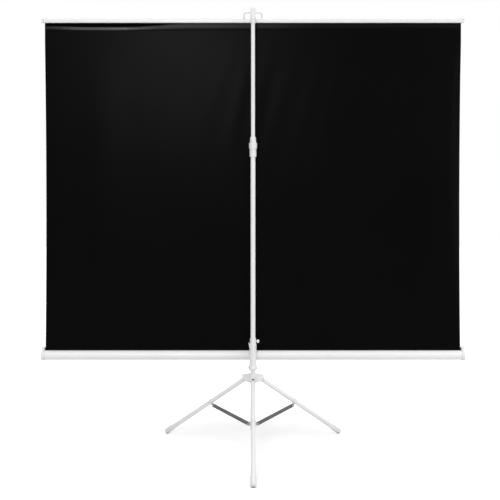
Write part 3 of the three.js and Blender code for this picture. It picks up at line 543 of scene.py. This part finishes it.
@dataclass(frozen=True)
class VinylBack(Finish):
    """Black vinyl back of the sheet: a fine pressed grain with a dull sheen."""

    name: str = "black_vinyl_back"
    colour: Colour = (0.00045, 0.0004, 0.00036)
    roughness: Span = (0.31, 0.36)
    tone: float = 1.7
    cloud: Noise = Noise(3.0, 3.0)
    grain: Relief = Relief(1100.0, 2.0, depth=0.05 * MM, strength=0.25)
    laid_on: Coordinates = Coordinates.UV
    specular: float = 0.031


@dataclass(frozen=True)
class VinylFold(VinylBack):
    """Black vinyl of the hem's fold, pressed smoother."""

    roughness: Span = (0.28, 0.32)


@dataclass(frozen=True)
class VinylWeld(VinylBack):
    """Black vinyl of the welded strip over the hem's fold, dulled by the weld."""

    name: str = "black_vinyl_weld"
    roughness: Span = (0.55, 0.6)
    specular: float = 0.01


@dataclass(frozen=True)
class PictureFace(Finish):
    """Viewing side of the sheet: matt white coat inside a printed black border."""

    name: str = "matt_white_picture_face"
    colour: Colour = (0.86, 0.86, 0.855)
    roughness: Span = (0.82, 0.92)
    tone: float = 0.975
    cloud: Noise = Noise(4.0, 3.0)
    grain: Relief = Relief(1800.0, 2.0, depth=0.05 * MM, strength=0.5)
    laid_on: Coordinates = Coordinates.UV
    specular: float = 0.25
    border: Colour = (0.012, 0.012, 0.012)
    picture_half: float = 1016.0 * MM
    picture_low: float = 545.0 * MM
    picture_high: float = 2069.0 * MM
    edge: float = 0.6 * MM

    def material(self) -> Material:
        """Builds the finish, white inside the picture's bounds and black outside them.

        Returns:
            The new material.
        """
        graph = Graph(self.name)
        where = graph.place(self.laid_on)
        parts = graph.add("SeparateXYZ", Vector=where).outputs
        wide = graph.band(parts["X"], -self.picture_half, self.picture_half, self.edge)
        tall = graph.band(parts["Y"], self.picture_low, self.picture_high, self.edge)
        cloud = graph.noise(where, self.cloud)
        bead = graph.noise(where, self.grain)
        coat = graph.mottle(cloud, self.colour, self.tone)
        return graph.surface(
            Base_Color=graph.mix(graph.product(wide, tall), opaque(self.border), coat),
            Roughness=graph.spread(cloud, self.roughness),
            Specular_IOR_Level=self.specular,
            Normal=graph.bump(bead, self.grain),
        )


@dataclass(frozen=True)
class BrushedFelt(Finish):
    """Black felt of the slot seal: short fibres with a soft nap."""

    name: str = "black_brushed_felt"
    colour: Colour = (0.006, 0.006, 0.006)
    roughness: Span = (0.9, 1.0)
    tone: float = 2.2
    cloud: Noise = Noise(2600.0, 4.0)
    grain: Relief = Relief(2600.0, 4.0, depth=0.2 * MM, strength=0.8)
    specular: float = 0.1
    sheen: float = 0.08


class Paints:
    """The screen's finishes, each made once."""

    def __init__(self) -> None:
        """Makes every finish."""
        self.enamel = PowderCoat().material()
        self.plastic = MouldedPlastic().material()
        self.dark_bottomed = DarkBottomPlastic().material()
        self.grey = SatinPaint().material()
        self.steel = PlatedSteel().material()
        self.aluminium = DrawnAluminium().material()
        self.vinyl = VinylBack().material()
        self.folds = [
            VinylFold(f"black_vinyl_hem_{k}", specular=gloss).material() for k, gloss in enumerate(HEM_GLOSS)
        ]
        self.weld = VinylWeld().material()
        self.picture = PictureFace().material()
        self.felt = BrushedFelt().material()


# Sub-assemblies.


@dataclass
class Frame:
    """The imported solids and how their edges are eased."""

    nodes: dict[str, Piece]
    crease: float = math.radians(32.0)
    ease: float = 0.35 * MM
    ease_steps: int = 2
    merge: float = 0.004 * MM

    def dress(self, name: str, material: Material) -> None:
        """Gives a solid its finish, smooth rounds and eased edges.

        Args:
            name: the node.
            material: its finish.
        """
        node = self.nodes[name]
        node.data.materials.clear()
        node.data.materials.append(material)
        node.data.polygons.foreach_set("use_smooth", np.ones(len(node.data.polygons), bool))
        weld = node.modifiers.new("weld", "WELD")
        weld.merge_threshold = self.merge
        bevel = node.modifiers.new("ease", "BEVEL")
        bevel.limit_method = "ANGLE"
        bevel.angle_limit = self.crease
        bevel.width = self.ease
        bevel.segments = self.ease_steps
        bevel.use_clamp_overlap = True
        level = node.modifiers.new("flats", "WEIGHTED_NORMAL")
        level.keep_sharp = False
        LOG.info("dressed %s with %s", name, material.name)

    def dress_all(self, names: Sequence[str], material: Material) -> None:
        """Gives several solids the same finish."""
        for name in names:
            self.dress(name, material)


@dataclass
class Mast:
    """Telescoping mast with its twist lock, plugs and hook."""

    frame: Frame
    paints: Paints

    def dress(self) -> None:
        """Finishes the mast's pieces."""
        self.frame.dress_all(("outer_mast_tube", "inner_mast_tube"), self.paints.enamel)
        moulded = ("mast_foot_plug", "inner_mast_bush", "lock_sleeve", "lock_collet", "lock_ring", "mast_head")
        self.frame.dress_all(moulded, self.paints.plastic)
        self.frame.dress("head_screw", self.paints.steel)


@dataclass
class Tripod:
    """Hub, legs, feet, braces and their collar."""

    frame: Frame
    paints: Paints

    def dress(self) -> None:
        """Finishes the tripod's pieces."""
        self.frame.dress_all(("hub_body", "lower_collar"), self.paints.plastic)
        for side in Side:
            self.dress_leg(side.value)

    def dress_leg(self, side: str) -> None:
        """Finishes one leg and its brace.

        Args:
            side: which leg.
        """
        self.frame.dress(f"leg_tube_{side}", self.paints.enamel)
        self.frame.dress_all((f"leg_plug_{side}", f"brace_clip_{side}"), self.paints.plastic)
        self.frame.dress(f"foot_{side}", self.paints.dark_bottomed)
        pins = (f"leg_pin_{side}", f"brace_rivet_{side}", f"brace_pin_{side}")
        self.frame.dress_all(pins, self.paints.steel)
        self.frame.dress(f"brace_{side}", self.paints.grey)


@dataclass
class Carrier:
    """Sleeve that holds the case on the mast, with its knob, trigger and pivot."""

    frame: Frame
    paints: Paints
    leaf_thick: float = 0.5 * MM
    leaf_straight: float = 7.0 * MM
    leaf_steps: int = 40
    leaf_keep: float = 0.42
    boss_height: float = 508.0 * MM
    boss_turn: float = math.radians(-50.0)
    boss_round: int = 48

    def dress(self) -> None:
        """Finishes the carrier's solids and adds its leaf spring and screw boss."""
        moulded = ("carrier_sleeve", "case_saddle", "lock_knob", "release_trigger")
        self.frame.dress_all(moulded, self.paints.plastic)
        self.frame.dress_all(("pivot_bolt", "trigger_pin"), self.paints.steel)
        self.leaf()
        self.boss("carrier_boss", self.paints.plastic, BOSS_PROFILE)
        self.boss("carrier_screw", self.paints.steel, SCREW_PROFILE)

    def leaf(self) -> None:
        """Leaf spring behind the trigger: a flat strip, straight at its root, that bows out as a parabola.

        It stands for the plain leaf.
        """
        low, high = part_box("trigger_spring")
        down = np.linspace(0.0, high.z - low.z, self.leaf_steps)
        bow = np.clip((down - self.leaf_straight) / (high.z - low.z - self.leaf_straight), 0.0, 1.0) ** 2
        inner = high.x - (high.x - low.x - self.leaf_thick) * bow
        x = np.stack([inner, inner, inner - self.leaf_thick, inner - self.leaf_thick], -1)
        y = np.broadcast_to([low.y, high.y, high.y, low.y], x.shape)
        z = np.broadcast_to((high.z - down)[:, None], x.shape)
        leaf = mesh_piece("trigger_leaf", *closed_sweep(np.stack([x, y, z], -1)))
        leaf.data.materials.append(self.paints.steel)
        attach(leaf, "carrier")
        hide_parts("trigger_spring")
        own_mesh(leaf)
        LOG.info("made %s", leaf.name)

    def boss(self, name: str, material: Material, profile: Sequence[Span]) -> None:
        """A turned piece sunk into the sleeve's side: a profile turned about a level line from the mast.

        Args:
            name: the piece's name.
            material: its finish.
            profile: radius about the line, and reach from the mast's middle, in millimetres.
        """
        low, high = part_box("outer_mast_tube")
        centre = np.array([(low.x + high.x) / 2, (low.y + high.y) / 2, self.boss_height])
        out = np.array([math.cos(self.boss_turn), math.sin(self.boss_turn), 0.0])
        side = np.array([-out[1], out[0], 0.0])
        up = np.array([0.0, 0.0, 1.0])
        turn = np.linspace(0.0, 2.0 * np.pi, self.boss_round, endpoint=False)
        ring = np.cos(turn)[:, None] * side + np.sin(turn)[:, None] * up
        radius, reach = np.array(profile).T * MM
        points = centre + reach[:, None, None] * out + radius[:, None, None] * ring
        piece = mesh_piece(name, *closed_sweep(points))
        piece.data.materials.append(material)
        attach(piece, "carrier")
        LOG.info("made %s", name)


@dataclass
class Case:
    """Roller case with its end caps, felt seal and spring roller."""

    frame: Frame
    paints: Paints
    felt_steps: int = 600
    felt_round: int = 8
    nap: float = 0.35 * MM
    nap_waves: tuple[Wave, ...] = (Wave(911.0, 0.0, 0.5), Wave(1733.0, 1.1, 0.3), Wave(397.0, 0.4, 0.2))
    wrap_turns: float = 1.2
    wrap_steps: int = 96
    wrap_pitch: float = 0.5 * MM
    wrap_thick: float = 0.4 * MM
    wrap_out: float = 10.15 * MM

    def dress(self) -> None:
        """Finishes the case's solids and adds its felt."""
        self.frame.dress("case_tube", self.paints.enamel)
        moulded = ("end_cap_right", "end_cap_left", "roller_plug_right", "roller_plug_left")
        self.frame.dress_all(moulded, self.paints.plastic)
        self.frame.dress_all(("spring_shaft", "idle_pin", "return_spring"), self.paints.steel)
        self.frame.dress("roller_tube", self.paints.aluminium)
        self.felt()

    def felt(self) -> None:
        """Felt strip: an upright section with a round top, carried along the slot, its nap a sum of sines.

        It stands for the plain seal.
        """
        low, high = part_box("slot_seal")
        near, far = low.y, high.y
        half = (far - near) / 2
        x = np.linspace(low.x, high.x, self.felt_steps)
        nap = sum(wave.at(x) for wave in self.nap_waves)
        top = high.z - half - self.nap * (0.5 + 0.5 * nap)
        turn = np.linspace(0.0, np.pi, self.felt_round)
        rim_y = (near + far) / 2 + half * np.cos(turn)
        section_y = np.concatenate([[far], rim_y, [near]])
        lift = np.concatenate([[0.0], half * np.sin(turn), [0.0]])
        upper = np.concatenate([[0.0], np.ones(self.felt_round), [0.0]])
        z = low.z + (top[:, None] - low.z) * upper[None, :] + lift[None, :]
        y = np.broadcast_to(section_y, z.shape)
        sections = np.stack([np.broadcast_to(x[:, None], z.shape), y, z], -1)
        strip = mesh_piece("slot_felt", *closed_sweep(sections))
        strip.data.materials.append(self.paints.felt)
        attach(strip, "case")
        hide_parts("slot_seal")
        LOG.info("made %s", strip.name)

    def wraps(self) -> Piece:
        """Last wraps on the roller: a strip whose radius grows by one pitch a turn until it leaves upwards.

        Returns:
            The wound piece, which stands for the plain roll.
        """
        low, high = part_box("sheet_roll")
        centre_y, centre_z = (low.y + high.y) / 2, (low.z + high.z) / 2
        turn = np.linspace(-2.0 * np.pi * self.wrap_turns, 0.0, self.wrap_steps)
        outer = self.wrap_out + self.wrap_pitch * turn / (2.0 * np.pi)
        radius = np.stack([outer, outer, outer - self.wrap_thick, outer - self.wrap_thick], -1)
        x = np.array([low.x, high.x, high.x, low.x])
        y = centre_y + radius * np.cos(turn)[:, None]
        z = centre_z + radius * np.sin(turn)[:, None]
        sections = np.stack([np.broadcast_to(x, y.shape), y, z], -1)
        roll = mesh_piece("sheet_wraps", *closed_sweep(sections))
        roll.data.materials.append(self.paints.vinyl)
        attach(roll, "roller")
        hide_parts("sheet_roll")
        LOG.info("made %s", roll.name)
        return roll


@dataclass
class Sheet:
    """The screen's sheet: black vinyl behind, white picture face in front, pulled tight with slow upright waves.

    Two pieces meet edge to edge: the cloth, which goes with the case, and the hem, which stays with the slat. Places
    across are given as u, a share of the half width from -1 to 1, and heights as z in metres.
    """

    paints: Paints
    flat: Span = (2.099, 1.673)
    # Points across, and rows of points: over the cloth, below the hem, up to its fold, along it and above it.
    across: int = 220
    cloth_rows: int = 110
    under_rows: int = 16
    lead_rows: int = 8
    crest_rows: int = 18
    over_rows: int = 8
    # Outline.
    half_low: float = 1044.5 * MM
    spread: float = 5.0 * MM
    drawn_in: float = 5.75 * MM
    widest: float = 1047.9 * MM
    slot_top: float = 505.0 * MM
    under_low: float = 2040.0 * MM
    hem_low: float = 2087.5 * MM
    # Upright waves, the height over which they rise above the slot, and between which depths below the top they die.
    wave: float = 2.0 * MM
    waves: tuple[Wave, ...] = (Wave(11.0, 0.6, 0.55), Wave(19.0, -1.3, 0.3, lean=0.5), Wave(29.0, 0.4, 0.15))
    wave_start: float = 0.5
    wave_end: Span = (0.6, 0.02)
    # Creases beside the mast: where they lie and how far they reach, across and up; the warp bends them.
    crease: float = 0.75 * MM
    crease_pitch: float = 118.0 * MM
    crease_lean: float = -0.24
    crease_at: Span = (0.04, 1.86)
    crease_span: Span = (0.42, 0.36)
    crease_warp: Wave = Wave(17.0, 0.0, 0.9)
    # Curled edge: its share of the curl at top and bottom, and how far below the top it begins to fade.
    curl: float = 7.0 * MM
    curl_reach: float = 42.0 * MM
    curl_ends: float = 0.3
    curl_fade: float = 0.3
    # The hem's fold, which sags over one end and is lifted again at its corner.
    crest: float = 2117.0 * MM
    crest_sag: float = 19.0 * MM
    sag_ends: Span = (-0.62, -0.3)
    corner_lift: float = 0.25
    lift_ends: Span = (-0.8, -1.0)
    crest_rise: float = 1.6 * MM
    crest_flat: float = 0.62
    crest_below: float = 20.0 * MM
    crest_tight: float = 9.0 * MM
    crest_above: float = 5.5 * MM
    crest_end: float = 12.0 * MM
    fold_share: float = 0.9
    gloss_ends: tuple[float, ...] = (-0.96, -0.92, -0.88, -0.61, -0.58, -0.55, -0.52, -0.49, -0.46, 0.16, 0.24)
    # Where the cloth gathers as it winds up, and the height it keeps there.
    gathers_at: float = 459.5 * MM
    gathered: float = 2.0 * MM

    def half_width(self, t: Array) -> Array:
        """Half the width at a share t of the height: a taper less a parabola, up to a limit."""
        return np.minimum(self.half_low + self.spread * t - 4.0 * self.drawn_in * t * (1.0 - t), self.widest)

    def sagging(self, u: Array) -> Array:
        """1 over the end where the hem sags, and 0 from there on."""
        return 1.0 - smooth_step(*self.sag_ends, u)

    def crest_height(self, u: Array) -> Array:
        """Height of the hem's fold: level under the slat, and sagging below it over one end."""
        lifted = 1.0 - self.corner_lift * smooth_step(*self.lift_ends, u)
        return self.crest - self.crest_sag * self.sagging(u) * lifted

    def crest_reach(self, u: Array) -> Array:
        """How far the fold reaches below its crest: less where the hem sags."""
        return self.crest_below - self.crest_tight * self.sagging(u)

    def hem_heights(self, u: Array, high: float) -> Array:
        """Heights of the hem's grid: rows that lead to its fold, follow it from edge to edge, and go on to the top.

        Args:
            u: place across, one for each column.
            high: height of the top edge.

        Returns:
            One height for each row and column.
        """
        crest = self.crest_height(u)
        under, over = crest - self.fold_share * self.crest_reach(u), crest + self.crest_above
        lead = np.linspace(np.full_like(u, self.hem_low), under, self.lead_rows, endpoint=False)
        fold = np.linspace(under, over, self.crest_rows, endpoint=False)
        return np.concatenate([lead, fold, np.linspace(over, np.full_like(u, high), self.over_rows)])

    def rippled(self, u: Array, z: Array, high: float) -> Array:
        """Upright waves and leaning creases, which die at the slot and the slat.

        The waves are a sum of sines across. A crease is a warped sine that leans with height, under a bell of width
        and height.

        Args:
            u: place across.
            z: height.
            high: height of the top edge.

        Returns:
            The offset towards +Y in metres.
        """
        begun = smooth_step(self.slot_top, self.slot_top + self.wave_start, z)
        ended = smooth_step(high - self.wave_end[0], high - self.wave_end[1], z)
        waves = sum(wave.at(u, z) for wave in self.waves)
        phase = (u * self.half_low + self.crease_lean * z) * 2.0 * np.pi / self.crease_pitch
        aside = (u - self.crease_at[0]) / self.crease_span[0]
        above = (z - self.crease_at[1]) / self.crease_span[1]
        creases = self.crease * np.sin(phase + self.crease_warp.at(u)) * np.exp(-(aside**2 + above**2))
        return (self.wave * waves + creases) * (begun * (1.0 - ended))

    def curled(self, u: Array, z: Array, high: float) -> Array:
        """The edge's curl: 3t^2 - 2t^3 over a strip that is widest at mid-height and ends below the hem.

        Args:
            u: place across.
            z: height.
            high: height of the top edge.

        Returns:
            The offset towards +Y in metres.
        """
        t = np.clip((z - self.slot_top) / (high - self.slot_top), 0.0, 1.0)
        loose = self.curl_ends + (1.0 - self.curl_ends) * 4.0 * t * (1.0 - t)
        inside = (1.0 - u) * self.half_low / (self.curl_reach * loose)
        held = 1.0 - smooth_step(high - self.curl_fade, self.hem_low, z)
        return self.curl * loose * held * smooth_step(0.0, 1.0, 1.0 - inside)

    def folded(self, u: Array, z: Array, high: float) -> Array:
        """The hem's fold: a bell over the height, wider below its crest than above it, and flatter where level.

        Args:
            u: place across.
            z: height.
            high: height of the top edge.

        Returns:
            The offset towards -Y in metres.
        """
        from_crest = z - self.crest_height(u)
        reach = np.where(from_crest < 0.0, self.crest_reach(u), self.crest_above)
        bell = np.exp(-((from_crest / reach) ** 2)) * (1.0 - smooth_step(high - self.crest_end, high, z))
        return self.crest_rise * (1.0 - self.crest_flat * (1.0 - self.sagging(u))) * bell

    def slab(self, name: str, u: Array, z: Array) -> tuple[Piece, Array, Array]:
        """A thin closed slab over a grid: the ripples and the curl less the fold, half a thickness to each side.

        Args:
            name: the piece's name.
            u: place across, one for each column.
            z: height, one for each row and column.

        Returns:
            The piece, which faces are on the viewing side, and the row of each face.
        """
        low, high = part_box("screen_sheet")
        thick = (high.y - low.y) / 2
        place = (u[None, :], z, high.z)
        x = self.half_width((z - low.z) / (high.z - low.z)) * u
        y = (low.y + high.y) / 2 + (self.rippled(*place) + self.curled(*place) - self.folded(*place))
        back = np.stack([x, y - thick, z], -1)
        face = np.stack([x, y + thick, z], -1)[:, ::-1]
        points, quads, walls = closed_sweep(np.concatenate([back, face], 1))
        piece = mesh_piece(name, points, quads, walls, points[:, [0, 2]])
        viewing = (quads % (2 * self.across) >= self.across).all(1)
        LOG.info("made %s over %d quads, %.3f m wide", name, len(quads), 2 * x.max())
        return piece, viewing, quads.min(1) // (2 * self.across)

    def cloth(self, u: Array) -> Piece:
        """The cloth, which stands for the plain slab.

        Args:
            u: place across, one for each column.

        Returns:
            The piece.
        """
        low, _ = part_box("screen_sheet")
        main = np.linspace(low.z, self.under_low, self.cloth_rows, endpoint=False)
        under = np.linspace(self.under_low, self.hem_low, self.under_rows)
        z = np.repeat(np.concatenate([main, under])[:, None], self.across, 1)
        cloth, viewing, _ = self.slab("screen_cloth", u, z)
        cloth.data.materials.append(self.paints.vinyl)
        cloth.data.materials.append(self.paints.picture)
        cloth.data.polygons.foreach_set("material_index", viewing.astype(np.int32))
        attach(cloth, "case")
        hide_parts("screen_sheet")
        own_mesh(cloth)
        return cloth

    def hem(self, u: Array) -> Piece:
        """The hem, which comes down with the slat; its fold is glossiest near one end.

        Args:
            u: place across, one for each column.

        Returns:
            The piece.
        """
        _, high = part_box("screen_sheet")
        hem, viewing, row = self.slab("screen_hem", u, self.hem_heights(u, high.z))
        fold_to = self.lead_rows + self.crest_rows
        column = np.concatenate([u, u[::-1]])
        along = column[corner_points(hem.data) % (2 * self.across)].reshape(-1, 4).mean(1)
        stretch = HemFinish.FOLD + np.searchsorted(self.gloss_ends, along)
        on_fold = (row >= self.lead_rows) & (row < fold_to)
        finish = np.select(
            [viewing, on_fold, row >= fold_to], [HemFinish.PICTURE, stretch, HemFinish.WELD], HemFinish.BACK
        )
        for material in (self.paints.vinyl, self.paints.picture, self.paints.weld, *self.paints.folds):
            hem.data.materials.append(material)
        hem.data.polygons.foreach_set("material_index", finish.astype(np.int32))
        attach(hem, "slat")
        return hem

    def build(self, wraps: Piece) -> None:
        """Args:
            wraps: the wound piece that the cloth runs on to; not used.
        """
        u = np.linspace(-1.0, 1.0, self.across)
        cloth = self.cloth(u)
        hem = self.hem(u)


@dataclass
class Slat:
    """Top slat with its caps, hem rod and pull handle."""

    frame: Frame
    paints: Paints

    def dress(self) -> None:
        """Finishes the slat's pieces."""
        self.frame.dress("top_slat", self.paints.enamel)
        self.frame.dress_all(("slat_cap_right", "slat_cap_left", "hem_rod", "pull_handle"), self.paints.plastic)


# Studio.


def hang(data: bpy.types.Light, place: Point, away: Sequence[float]) -> None:
    """Adds a light to the scene.

    Args:
        data: the light.
        place: where it hangs.
        away: the direction it turns its back to.
    """
    light = bpy.data.objects.new(data.name, data)
    light.location = place
    light.rotation_mode = "QUATERNION"
    light.rotation_quaternion = Vector(away).to_track_quat("Z", "Y")
    bpy.context.scene.collection.objects.link(light)


@dataclass(frozen=True)
class Lamp:
    """A soft lamp: its place, the point it faces, its width and height, its watts and how widely it fans out."""

    name: str
    place: Point
    aim: Point
    size: Span
    power: float
    spread: float = math.pi

    def build(self) -> None:
        """Adds the lamp."""
        data = bpy.data.lights.new(self.name, "AREA")
        data.shape = "RECTANGLE"
        data.size, data.size_y = self.size
        data.energy = self.power
        data.spread = self.spread
        hang(data, self.place, Vector(self.place) - Vector(self.aim))


@dataclass(frozen=True)
class Sky:
    """A wide soft light, as strong at the object's top as at its feet.

    It has the direction it comes from, how wide it looks, and its strength in watts on a square metre.
    """

    name: str
    towards: Point
    angle: float
    strength: float

    def build(self) -> None:
        """Adds the light."""
        data = bpy.data.lights.new(self.name, "SUN")
        data.angle = self.angle
        data.energy = self.strength
        hang(data, self.towards, self.towards)


@dataclass
class Studio:
    """Pale floor, white surround, soft lights and the camera."""

    mast_y: float
    distance: float = 4.023
    eye_height: float = 1.293
    aside: float = -0.0149
    sensor: float = 36.0
    lens: float = 58.46
    shift: float = -0.124
    sight: float = 100.0
    floor_half: float = 14.0
    floor_height: float = -0.3 * MM
    floor_paint: Colour = (0.78, 0.78, 0.78)
    # The floor's glow: between which distances from the mast it rises, and from what to what.
    glow_reach: Span = (0.5, 1.0)
    glow_level: Span = (0.34, 0.64)
    ambient: float = 0.28
    lights: tuple[Lamp | Sky, ...] = (
        Lamp("key", (-0.85, -5.2, 3.05), (-0.2, 0.2, 1.4), (0.9, 1.7), 84.0),
        Lamp("fill", (3.2, -4.2, 2.2), (0.0, 0.1, 0.9), (1.4, 1.4), 23.0),
        Lamp("side_right", (3.4, -1.4, 1.1), (0.0, 0.1, 0.8), (1.2, 1.2), 18.0),
        Lamp("side_left", (-3.4, -1.2, 1.1), (0.0, 0.1, 0.8), (1.2, 1.2), 6.0),
        Lamp("back", (0.2, 4.2, 1.9), (0.0, 0.2, 1.45), (2.4, 2.4), 13.0, math.radians(50.0)),
        Sky("overhead", (0.12, -0.3, 1.0), math.radians(60.0), 1.5),
    )

    def camera(self) -> None:
        """Level camera behind the sheet, with its frame shifted down."""
        data = bpy.data.cameras.new("camera")
        data.sensor_fit = "HORIZONTAL"
        data.sensor_width = self.sensor
        data.lens = self.lens
        data.shift_y = self.shift
        data.clip_end = self.sight
        camera = bpy.data.objects.new("camera", data)
        camera.location = (self.aside, self.mast_y - self.distance, self.eye_height)
        camera.rotation_euler = (math.pi / 2, 0.0, 0.0)
        bpy.context.scene.collection.objects.link(camera)
        bpy.context.scene.camera = camera

    @staticmethod
    def seen(tree: bpy.types.NodeTree) -> Socket:
        """1 for rays from the camera, mirrors and glass, and 0 for light that falls on things.

        Args:
            tree: the node tree that needs it.

        Returns:
            The larger of the three kinds of ray.
        """
        path = tree.nodes.new("ShaderNodeLightPath")
        largest: Socket = path.outputs["Is Camera Ray"]
        for name in ("Is Glossy Ray", "Is Transmission Ray"):
            node = tree.nodes.new("ShaderNodeMath")
            node.operation = "MAXIMUM"
            tree.links.new(largest, node.inputs[0])
            tree.links.new(path.outputs[name], node.inputs[1])
            largest = node.outputs["Value"]
        return largest

    def surround(self) -> None:
        """White where it is seen, and a softer even light where it falls."""
        world = bpy.data.worlds.new("surround")
        world.use_nodes = True
        tree = world.node_tree
        tree.nodes.clear()
        output = tree.nodes.new("ShaderNodeOutputWorld")
        light = tree.nodes.new("ShaderNodeBackground")
        shown = tree.nodes.new("ShaderNodeBackground")
        light.inputs["Strength"].default_value = self.ambient
        light.inputs["Color"].default_value = opaque(WHITE)
        shown.inputs["Color"].default_value = opaque(WHITE)
        pick = tree.nodes.new("ShaderNodeMixShader")
        tree.links.new(self.seen(tree), pick.inputs[0])
        tree.links.new(light.outputs[0], pick.inputs[1])
        tree.links.new(shown.outputs[0], pick.inputs[2])
        tree.links.new(pick.outputs[0], output.inputs["Surface"])
        bpy.context.scene.world = world

    def floor(self) -> None:
        """Pale floor that keeps the shadow: lit paint plus a glow that lights nothing."""
        span = np.array([-self.floor_half, self.floor_half])
        x, y = np.meshgrid(span, span, indexing="ij")
        points = np.stack([x, y, np.full(x.shape, self.floor_height)], -1).reshape(-1, 3)
        mesh = bpy.data.meshes.new("floor")
        mesh.from_pydata(points.tolist(), [], grid_faces(2, 2)[:, ::-1].tolist())
        floor = bpy.data.objects.new("floor", mesh)
        bpy.context.scene.collection.objects.link(floor)
        graph = Graph("pale_floor")
        reach = graph.add("VectorMath", {"operation": "LENGTH"})
        graph.put(reach.inputs[0], graph.place(Coordinates.OBJECT))
        level = graph.carry(reach.outputs["Value"], self.glow_reach, self.glow_level)
        shown = graph.product(self.seen(graph.tree), level)
        paint = graph.add("BsdfDiffuse", Color=opaque(self.floor_paint))
        glow = graph.add("Emission", Color=opaque(WHITE), Strength=shown)
        both = graph.add("AddShader")
        graph.put(both.inputs[0], paint.outputs["BSDF"])
        graph.put(both.inputs[1], glow.outputs["Emission"])
        graph.put(graph.output.inputs["Surface"], both.outputs["Shader"])
        mesh.materials.append(graph.material)

    def build(self) -> None:
        """Sets up the whole studio."""
        bpy.context.scene.view_settings.view_transform = "Standard"
        self.camera()
        self.surround()
        self.floor()
        for light in self.lights:
            light.build()


def main() -> None:
    """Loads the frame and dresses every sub-assembly."""
    logging.basicConfig(level=logging.INFO, format="%(message)s")
    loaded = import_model()
    frame = Frame(loaded["nodes"])
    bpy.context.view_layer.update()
    paints = Paints()
    low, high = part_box("outer_mast_tube")
    Studio(mast_y=(low.y + high.y) / 2).build()
    Mast(frame, paints).dress()
    Tripod(frame, paints).dress()
    Carrier(frame, paints).dress()
    case = Case(frame, paints)
    case.dress()
    wraps = case.wraps()
    Slat(frame, paints).dress()
    Sheet(paints).build(wraps)
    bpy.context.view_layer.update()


if __name__ == "__main__":
    main()
